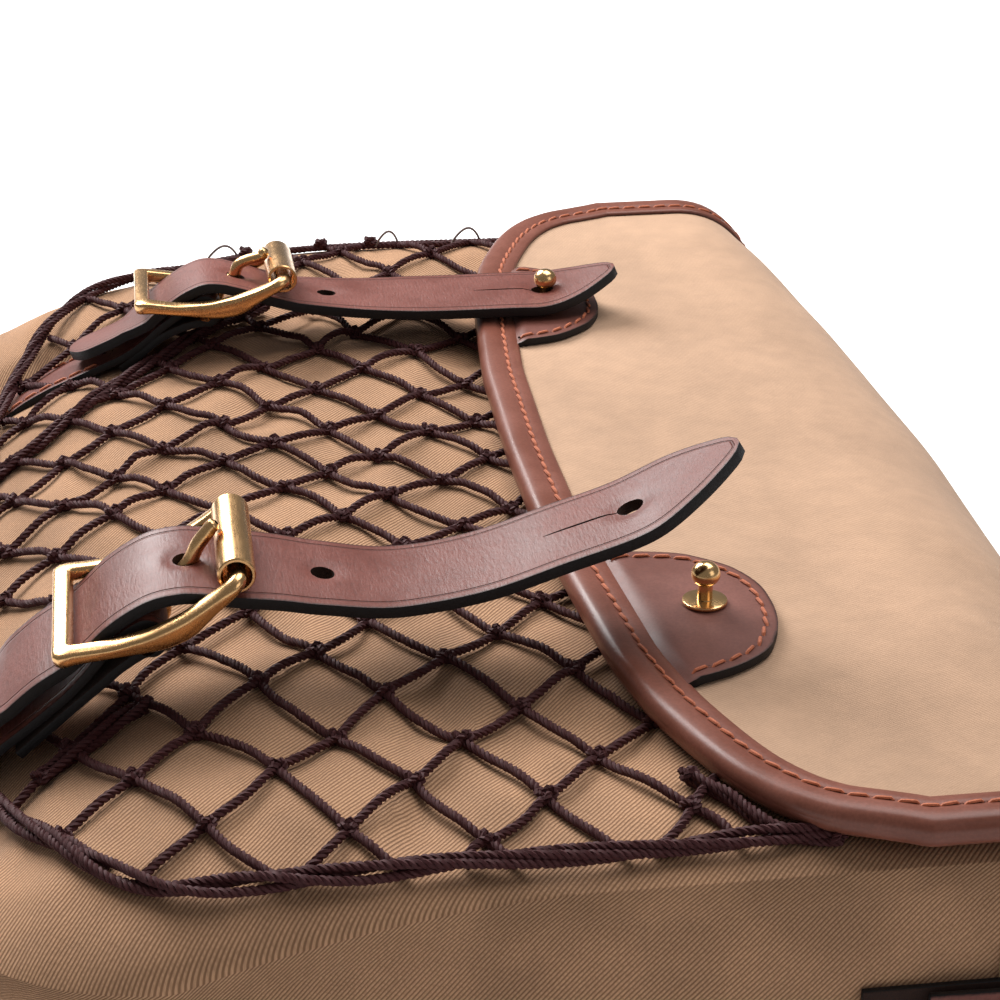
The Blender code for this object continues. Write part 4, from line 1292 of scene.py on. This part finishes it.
@dataclass
class Strap:
    """A fastening strap with creased lines, black edges, holes and a slit."""

    lie: Lie
    half: float = 16.0
    thick: float = 2.9
    point: float = 29.0
    tail: float = 7.0

    def width(self, distance: float, total: float) -> float:
        """Give the share of the full width at a distance along the strap."""
        tail = min(distance / self.tail, 1.0)
        point = min((total - distance) / self.point, 1.0)
        blunt = min((total - distance) / 2.6, 1.0)
        return (max(math.sqrt(1 - (1 - tail) ** 2), 0.3) * (1 - 0.8 * (1 - point) ** 1.9)
                * max(math.sqrt(1 - (1 - blunt) ** 2), 0.4))

    def dish(self, x: float, off: float) -> float:
        """Give how far the strap is pressed in round its holes."""
        spots = [(at, 3.6) for at in self.lie.punches] + [(self.lie.stud_hole, 4.0)]
        return sum(0.65 * (1 - ease(math.hypot(x - at, off), size - 0.6, size + 2.6))
                   for at, size in spots)

    def at(self, path: Sequence[Vector], x: float) -> tuple[Vector, Vector]:
        """Find the point and the direction of the strap's path at x."""
        for a, b in zip(path, path[1:]):
            if a.x <= x <= b.x:
                return a.lerp(b, (x - a.x) / (b.x - a.x)), (b - a).normalized()
        return path[-1], Vector((1.0, 0.0))

    def slug(self, path: Sequence[Vector], x: float, long: float,
             wide: float) -> bmesh.types.BMesh:
        """Make a rounded slug that cuts square through the strap at x."""
        point, along = self.at(path, x)
        bm = bmesh.new()
        bmesh.ops.create_cone(bm, cap_ends=True, segments=28, radius1=1.0, radius2=1.0, depth=1.0)
        lift = Vector((-along.y, along.x))
        for vert in bm.verts:
            a, b, c = vert.co.x * long, vert.co.y * wide, vert.co.z * 5 * self.thick
            vert.co = self.lie.place(point.x + along.x * a + lift.x * c, b,
                                     point.y + along.y * a + lift.y * c, tail=True) * MM
        bmesh.ops.recalc_face_normals(bm, faces=bm.faces)
        return bm

    def build(self, shop: Workshop) -> None:
        """Build the strap and cut its holes."""
        path = smooth_path(self.lie.strap, 9)
        lengths = running_lengths(path)
        count, across = len(path) - 1, 26

        def place(u: float, v: float) -> tuple[Vector, Spot]:
            k = round(u * count)
            width = self.half * self.width(lengths[k], lengths[-1])
            off = (0.35 * math.sin(math.pi / 2 * (2 * v - 1)) + 0.65 * (2 * v - 1)) * width
            cup = 0.35 * (off / self.half) ** 2 * min(width / self.half, 1)
            near_end = min(lengths[-1] - lengths[k] + 1.0, 30.0)
            edge = min(width - abs(off), near_end)
            low = path[k].y - cup - self.dish(path[k].x, off)
            return self.lie.place(path[k].x, off, low, tail=True), (lengths[k], edge)

        bm = bmesh.new()
        shape_grid(bm, count, across, place)
        name = "strap_" + self.lie.side.value
        strap = shop.piece(name + "_leather", bm, LEATHER, (name,))
        shop.thicken(strap, self.thick, bevel=0.5)
        holes = [self.slug(path, x, 2.9, 3.0) for x in self.lie.punches]
        holes.append(self.slug(path, self.lie.stud_hole, 3.4, 3.1))
        holes.append(self.slug(path, self.lie.stud_hole - 11.5, 10.0, 0.42))
        shop.cut_out(strap, holes)


@dataclass
class BuckleStrap:
    """The lower strap, looped round the buckle's centre bar and sewn to the bag."""

    lie: Lie
    buckle: Buckle
    half: float = 15.5
    thick: float = 2.4

    def build(self, shop: Workshop) -> None:
        """Build the strap, its slot for the prong and its stitches."""
        x, z = self.buckle.bar_centre()
        reach = self.buckle.wire + CLEARANCE + self.thick / 2
        loop = [(x + reach * math.cos(math.radians(a)), z + reach * math.sin(math.radians(a)))
                for a in (-105, -60, -15, 30, 75, 115)]
        path = smooth_path(list(self.lie.chape_return) + loop + list(self.lie.chape_run), 6)
        lengths = running_lengths(path)
        count = len(path) - 1

        def place(u: float, v: float) -> tuple[Vector, Spot]:
            k = round(u * count)
            off = -math.sin(math.pi / 2 * (2 * v - 1)) * self.half
            return self.lie.place(path[k].x, off, path[k].y), (lengths[k], self.half - abs(off))

        bm = bmesh.new()
        shape_grid(bm, count, 14, place)
        name = "buckle_strap_" + self.lie.side.value
        strap = shop.piece(name + "_leather", bm, LEATHER, (name,))
        shop.thicken(strap, self.thick, bevel=0.45)
        bm = bmesh.new()
        bmesh.ops.create_cube(bm, size=1.0)
        for vert in bm.verts:
            vert.co = self.lie.place(x + 0.6 * reach + vert.co.x * 4 * reach, vert.co.y * 8.4,
                                     z + vert.co.z * 4 * reach) * MM
        shop.cut_out(strap, [bm])
        bm = bmesh.new()
        low = [p for p in path if p.y < path[-1].y + 16 and p.x < -30]
        for sign in (-1, 1):
            row = [self.lie.place(p.x - 1.25, sign * 12.6, p.y) for p in low]
            Stitching().add_to(bm, row, [Vector((-1, 0, 0))] * len(row))
        for high in (3.0, 15.0):
            row = [self.lie.place(path[-1].x - 1.25, off, path[-1].y + high)
                   for off in range(-12, 13, 2)]
            Stitching().add_to(bm, row, [Vector((-1, 0, 0))] * len(row))
        start = self.lie.chape_run[4][0]
        top = [k for k in range(count // 2, count) if start > path[k].x > low[0].x]
        for sign in (-1, 1):
            row, normals = [], []
            for k in top:
                run = (path[k + 1] - path[k - 1]).normalized()
                lift = Vector((run.y, 0.0, -run.x))
                row.append(self.lie.place(path[k].x, sign * 12.4, path[k].y)
                           + lift * (self.thick / 2 + 0.05))
                normals.append(lift)
            Stitching().add_to(bm, row, normals)
        shop.piece(name + "_stitches", bm, STITCHES)


@dataclass
class NetPocket:
    """The knotted twine net over the front, its border bundle and its gathered strands."""

    form: BagForm
    twine: float = 1.12
    column_step: float = 15.0
    border: tuple[Spot, ...] = (
        (-134.0, 0.0), (-133.0, 60.0), (-129.0, 108.0), (-123.0, 134.0), (-112.0, 160.0),
        (-90.0, 187.0), (-63.0, 195.0), (-30.0, 198.0), (10.0, 198.0), (47.0, 196.5),
        (62.0, 194.5),
    )
    rng: random.Random = field(default_factory=lambda: random.Random(11))

    def height(self, x: float, y: float) -> float:
        """Give the height at which twine rests on the front."""
        return max(self.form.cloth(x, y), self.form.front(x, y) - 0.8) + self.twine + 0.15

    def inside(self, x: float, y: float) -> bool:
        """Tell whether a point lies within the border."""
        low = read_table(self.border[:8], 1, abs(y)) if abs(y) < 198 else -30.0
        return abs(y) < read_table(self.border, 0, x) - 1.0 and low + 1.0 < x < 52.0

    def knot_at(self, k: int, m: int) -> Vector:
        """Give the place of a knot: k counts columns down from the flap, m half diamonds across."""
        jitter = random.Random(k * 97 + m * 13 + 5)
        a = abs(m) / 2
        soft = 29.0 * a + 6.0 * (a - 2.9 + math.sqrt((a - 2.9) ** 2 + 0.3))
        y = math.copysign(soft, m) + 4.8 * (k - 3) + jitter.uniform(-2.0, 2.0)
        x = 26.0 - self.column_step * k + 4.0 * min(abs(y) / 205, 1) + jitter.uniform(-1.6, 1.6)
        return Vector((x, y, self.height(x, y)))

    def leg(self, a: Vector, b: Vector) -> list[Vector]:
        """Lay one leg of twine between two knots: slack, a little lifted and bowed."""
        run = b - a
        aside = Vector((-run.y, run.x, 0)).normalized()
        bow = self.rng.uniform(-1.8, 1.8)
        lift = self.rng.uniform(0.1, 1.5)
        points = []
        for k in range(9):
            t = k / 8
            arch = math.sin(math.pi * t)
            point = a.lerp(b, t) + aside * bow * arch
            point.z = self.height(point.x, point.y) + lift * arch
            points.append(point)
        return smooth_path(points, 3)

    def strand(self, bm: bmesh.types.BMesh, points: Sequence[Vector]) -> None:
        """Add a length of twine."""
        Twine().add_to(bm, points, self.rng.uniform(0.0, 6.28))

    def knot(self, bm: bmesh.types.BMesh, at: Vector) -> None:
        """Tie one knot: a small tight tangle of twine."""
        turn, size = self.rng.uniform(0, 6.28), self.rng.uniform(0.6, 0.72)
        tip = self.rng.uniform(-0.35, 0.35)
        points = []
        for k in range(31):
            t = 2 * math.pi * k / 30
            x, y = math.sin(t) + 2 * math.sin(2 * t), math.cos(t) - 2 * math.cos(2 * t)
            z = -math.sin(3 * t) * 1.3
            x, z = x * math.cos(tip) - z * math.sin(tip), x * math.sin(tip) + z * math.cos(tip)
            points.append(at + size * Vector((x * math.cos(turn) - y * math.sin(turn),
                                              x * math.sin(turn) + y * math.cos(turn),
                                              z + 1.0)))
        Twine(radius=0.95, lay=3.6, steps=6, sides=4).add_to(bm, points)

    def crossing(self, a: Vector, b: Vector) -> Vector:
        """Find where the line from a, inside, to b, outside, meets the border."""
        low, high = 0.0, 1.0
        for _ in range(12):
            mid = (low + high) / 2
            point = a.lerp(b, mid)
            low, high = (mid, high) if self.inside(point.x, point.y) else (low, mid)
        point = a.lerp(b, high)
        return Vector((point.x, point.y, self.height(point.x, point.y)))

    def build(self, shop: Workshop) -> None:
        """Build the net in a near and a far half, then its border."""
        knots = {(k, m): self.knot_at(k, m) for k in range(-2, 12) for m in range(-12, 13)
                 if (k + m) % 2 == 0}
        halves = {-1: bmesh.new(), 1: bmesh.new()}
        tangles = bmesh.new()
        for (k, m), a in knots.items():
            here = self.inside(a.x, a.y)
            if here:
                self.knot(tangles, a)
            for step in (-1, 1):
                b = knots.get((k + 1, m + step))
                if b is None:
                    continue
                there = self.inside(b.x, b.y)
                if not here and not there:
                    continue
                start = a if here else self.crossing(b, a)
                end = b if there else self.crossing(a, b)
                if (end - start).length < 3.0:
                    continue
                half = halves[-1 if (start.y + end.y) < 0 else 1]
                self.strand(half, self.leg(start, end))
        shop.piece("net_twine_near", halves[-1], ("twine",), ("net",))
        shop.piece("net_twine_far", halves[1], ("twine",))
        shop.piece("net_knots", tangles, ("twine",))
        self.build_border(shop)

    def build_border(self, shop: Workshop) -> None:
        """Lay the bundle of twines round the net, and the strands gathered by the straps."""
        half = smooth_path(self.border, 5)
        flat = [Vector((p.x, -p.y)) for p in reversed(half)] + half[1:]
        flat = even_path(flat, 6.0)
        bm = bmesh.new()
        for n in range(3):
            points = []
            for k, p in enumerate(flat):
                wave = 2 * math.pi * (k / 13 + n / 3) + 0.8 * math.sin(k / 5 + n)
                run = (flat[min(k + 1, len(flat) - 1)] - flat[max(k - 1, 0)]).normalized()
                flat_share = ease(p.y, 160, 190) * ease(p.x, -90, -66)
                side = (1.15 if n == 0 else -1.15) * (0.7 + 0.3 * math.cos(wave))
                off = 1.5 * math.cos(wave) * (1 - flat_share) + side * flat_share
                x, y = p.x - run.y * off, p.y + run.x * off
                high = 2.1 + 1.15 * (1 + math.sin(wave))
                high += (1.35 + 0.25 * math.sin(wave) - high) * flat_share
                points.append(Vector((x, y, self.form.front(x, y) + high)))
                if n == 2 and p.y > 190 and p.x > -50:
                    break
            self.strand(bm, smooth_path(points, 3))
        for x in (-48.0, -22.0, -5.0):
            y = read_table(self.border, 0, x)
            self.knot(bm, Vector((x, y, self.form.front(x, y) + 2.6)))
        shop.piece("net_border_twine", bm, ("twine",), ("net_border",))
        self.build_gathers(shop)
        self.build_loops(shop)

    def build_gathers(self, shop: Workshop) -> None:
        """Lay the twines that are drawn together beside the straps."""
        runs = (
            (3, ((-129.0, 60.0), (-112.0, 70.0), (-90.0, 92.0), (-70.0, 112.0), (-45.0, 137.0))),
            (3, ((-112.0, -131.0), (-98.0, -122.0), (-88.0, -114.0))),
            (4, ((30.0, -173.3), (32.0, -176.6), (36.2, -180.2), (39.8, -186.9), (45.6, -194.7),
                 (57.0, -198.0))),
        )
        bm = bmesh.new()
        for strands, run in runs:
            line = even_path(smooth_path([(*spot, 0.0) for spot in run], 5), 7.0)
            for n in range(strands):
                points = []
                for k, p in enumerate(line):
                    wave = 2 * math.pi * (k / 8 + n / strands)
                    x, y = p.x + 1.2 * math.cos(wave), p.y - 1.2 * math.cos(wave)
                    points.append(Vector((x, y, self.height(x, y) + 1.1 * (1 + math.sin(wave)))))
                self.strand(bm, smooth_path(points, 3))
            for spot in (line[0], line[-1]):
                self.knot(bm, Vector((spot.x, spot.y, self.height(spot.x, spot.y) + 1.2)))
        shop.piece("net_gathers", bm, ("twine",))

    def build_loops(self, shop: Workshop) -> None:
        """Bend the small loops of loose yarn that stand up along the far border, in a pale grey
        that paints the backlight on them.
        """
        bm = bmesh.new()
        for x, wide, high in ((-55.0, 11, 3.6), (1.5, 8, 3.5), (29.0, 10, 3.6)):
            y = read_table(self.border, 0, x) - 0.5
            points = []
            for k in range(13):
                t = k / 12
                reach = (high + 1.5) * math.sin(math.pi * t) ** 0.8
                points.append(Vector((x + wide * (t - 0.5) * (1.15 - 0.3 * t), y + 1.5 * t - 0.7,
                                      self.form.front(x, y) + 1.4 + reach)))
            Tube(smooth_path(points, 2), round_section(0.42), sides=6).add_to(bm)
        shop.piece("net_loops", bm, ("filament_painted_backlight",))


@dataclass
class Lacing:
    """The short cream cord beside the near strap."""

    radius: float = 1.5
    route: tuple[tuple[float, float, float], ...] = (
        (-88.0, -66.0, 79.8), (-97.0, -67.0, 77.2), (-107.0, -69.0, 73.8), (-118.0, -72.0, 69.9),
        (-127.0, -74.0, 66.8), (-134.0, -75.0, 62.6), (-141.0, -75.5, 56.8), (-146.7, -76.0, 50.2),
        (-149.4, -76.5, 41.0), (-149.3, -77.0, 28.0),
    )

    def build(self, shop: Workshop) -> None:
        """Build the cord along the CAD tube's own route."""
        line = smooth_path(self.route, 5)
        bm = bmesh.new()
        Tube(line, round_section(self.radius), sides=14).add_to(bm)
        shop.piece("net_lacing_cord", bm, ("cream_cord",), ("net_lacing",))


@dataclass
class SlingFitting:
    """The plain leather tab and brass ring at a gusset's top, for a shoulder sling."""

    side: Side
    wall_y: float = 207.0
    height: float = 34.0
    half: float = 12.0
    thick: float = 1.8
    start: float = 62.0
    bar_x: float = 113.0
    wire: float = 2.0
    length: float = 24.0
    ring_half: float = 16.0

    def build(self, shop: Workshop) -> None:
        """Build the tab, its stitches and the ring."""
        sign = -1 if self.side is Side.NEAR else 1
        reach = self.wire + CLEARANCE + self.thick / 2
        layer = self.wall_y + CLEARANCE + self.thick / 2
        ring_y = layer + reach
        path = [(self.start, layer), (self.start + 16, layer), (self.start + 30, layer),
                (self.bar_x - 13, layer), (self.bar_x - 8, layer), (self.bar_x - 4, layer)]
        path += [(self.bar_x + reach * math.cos(math.radians(a)),
                  ring_y + reach * math.sin(math.radians(a))) for a in (-90, -45, 0, 45, 90)]
        path += [(self.bar_x - 4, ring_y + 2.3), (self.bar_x - 8, ring_y + 1.3),
                 (self.bar_x - 14, ring_y + 0.9), (self.start + 26, ring_y + 0.5),
                 (self.start + 14, ring_y + 0.2)]
        line = smooth_path(path, 6)
        count = len(line) - 1
        lengths = running_lengths(line)

        def place(u: float, v: float) -> tuple[Vector, Spot]:
            k = round(u * count)
            off = self.half * math.sin(math.pi / 2 * (2 * v - 1))
            off = off if sign > 0 else -off
            return (Vector((line[k].x, sign * line[k].y, self.height + off)),
                    (lengths[k], self.half - abs(off)))

        bm = bmesh.new()
        shape_grid(bm, count, 10, place)
        name = "sling_tab_" + self.side.value
        tab = shop.piece(name + "_leather", bm, LEATHER, (name,))
        shop.thicken(tab, self.thick, bevel=0.35)
        bm = bmesh.new()
        face = Vector((0, sign, 0))
        for rise in (-9.2, 9.2):
            row = [Vector((x, sign * (ring_y + 1.15 + 0.6 * ease(x, 76, 106)), self.height + rise))
                   for x in range(78, 104, 3)]
            Stitching(pitch=3.2).add_to(bm, row, [face] * len(row))
        row = [Vector((79.0, sign * (ring_y + 1.2), self.height + z)) for z in range(-9, 10, 3)]
        Stitching(pitch=3.2).add_to(bm, row, [face] * len(row))
        shop.piece(name + "_stitches", bm, STITCHES)
        corner, bend = 4.0, self.ring_half * 0.9
        outline = [(0.0, -self.ring_half + corner), (0.0, self.ring_half - corner),
                   (1.4, self.ring_half - 1.2), (corner, self.ring_half)]
        outline += [(self.length - bend + bend * math.cos(math.radians(a)),
                     self.ring_half * math.sin(math.radians(a)))
                    for a in (75, 50, 25, 0, -25, -50, -75)]
        outline += [(corner, -self.ring_half), (1.4, -self.ring_half + 1.2)]
        ring = [Vector((self.bar_x + x, sign * ring_y, self.height + z)) for x, z in outline]
        looped = ring[-2:] + ring + ring[:2]
        smooth = smooth_path(looped, 4)
        smooth = smooth[8:8 + 4 * len(ring)]
        bm = bmesh.new()
        Tube(smooth, round_section(self.wire), sides=14, cyclic=True, up=face).add_to(bm)
        bmesh.ops.recalc_face_normals(bm, faces=bm.faces)
        name = "sling_ring_" + self.side.value
        shop.piece(name + "_brass", bm, ("cast_brass",), (name,))


@dataclass
class Studio:
    """The camera at the photograph's viewing angle, soft lights and a plain pale floor."""

    camera_at: tuple[float, float, float] = (-80.6, -663.1, 379.0)
    yaw: float = 8.0
    pitch: float = 25.16
    lens: float = 94.9
    shift: float = 0.019

    def build(self) -> None:
        """Build the camera, the lights, the world and the floor."""
        camera = bpy.data.cameras.new("camera")
        camera.lens, camera.sensor_width, camera.shift_y = self.lens, 36.0, self.shift
        camera.clip_start = 0.01
        obj = bpy.data.objects.new("camera", camera)
        yaw, pitch = math.radians(self.yaw), math.radians(self.pitch)
        obj.location = Vector(self.camera_at) * MM
        look = Vector((math.sin(yaw) * math.cos(pitch), math.cos(yaw) * math.cos(pitch),
                       -math.sin(pitch)))
        obj.rotation_euler = look.to_track_quat("-Z", "Y").to_euler()
        bpy.context.scene.collection.objects.link(obj)
        bpy.context.scene.camera = obj
        self.light("key", (-0.55, 0.95, 0.95), 0.8, 30.0)
        self.light("top", (0.35, 0.35, 1.3), 1.0, 14.0)
        self.light("fill", (0.9, -0.9, 0.7), 0.7, 2.0)
        world = bpy.data.worlds.new("studio")
        world.use_nodes = True
        world.node_tree.nodes["Background"].inputs[0].default_value = (1.0, 1.0, 1.0, 1.0)
        world.node_tree.nodes["Background"].inputs[1].default_value = 0.2
        bpy.context.scene.world = world
        bpy.context.scene.view_settings.view_transform = "Standard"
        bm = bmesh.new()
        bmesh.ops.create_grid(bm, x_segments=1, y_segments=1, size=5.0)
        mesh = bpy.data.meshes.new("floor")
        bm.to_mesh(mesh)
        bm.free()
        g = Graph("pale_floor")
        g.set(Roughness=0.9, Specular_IOR_Level=0.0)
        tone = g.noise(g.place(), 900.0)
        mesh.materials.append(g.finish(g.mix(tone, (0.93, 0.93, 0.93), (0.95, 0.95, 0.95))))
        floor = bpy.data.objects.new("floor", mesh)
        bpy.context.scene.collection.objects.link(floor)

    def light(self, name: str, at: tuple[float, float, float], size: float, power: float) -> None:
        """Hang one square soft light that faces the bag."""
        lamp = bpy.data.lights.new(name, "AREA")
        lamp.energy, lamp.size = power, size
        obj = bpy.data.objects.new(name, lamp)
        obj.location = at
        obj.rotation_euler = (-Vector(at)).to_track_quat("-Z", "Y").to_euler()
        bpy.context.scene.collection.objects.link(obj)


def main() -> None:
    """Build the studio and every piece of the bag."""
    logging.basicConfig(level=logging.INFO, format="%(name)s: %(message)s")
    Studio().build()
    shop = Workshop(Finishes())
    form = BagForm()
    Body(form).build(shop)
    Flap(form).build(shop)
    Binding(form).build(shop)
    for lie in LIES:
        StudTab(form, lie.side, lie.stud).build(shop)
        BallStud(form, lie.side, lie.stud).build(shop)
        buckle = Buckle(lie)
        Strap(lie).build(shop)
        BuckleStrap(lie, buckle).build(shop)
        buckle.build(shop)
        SlingFitting(lie.side).build(shop)
    NetPocket(form).build(shop)
    Lacing().build(shop)


if __name__ == "__main__":
    main()
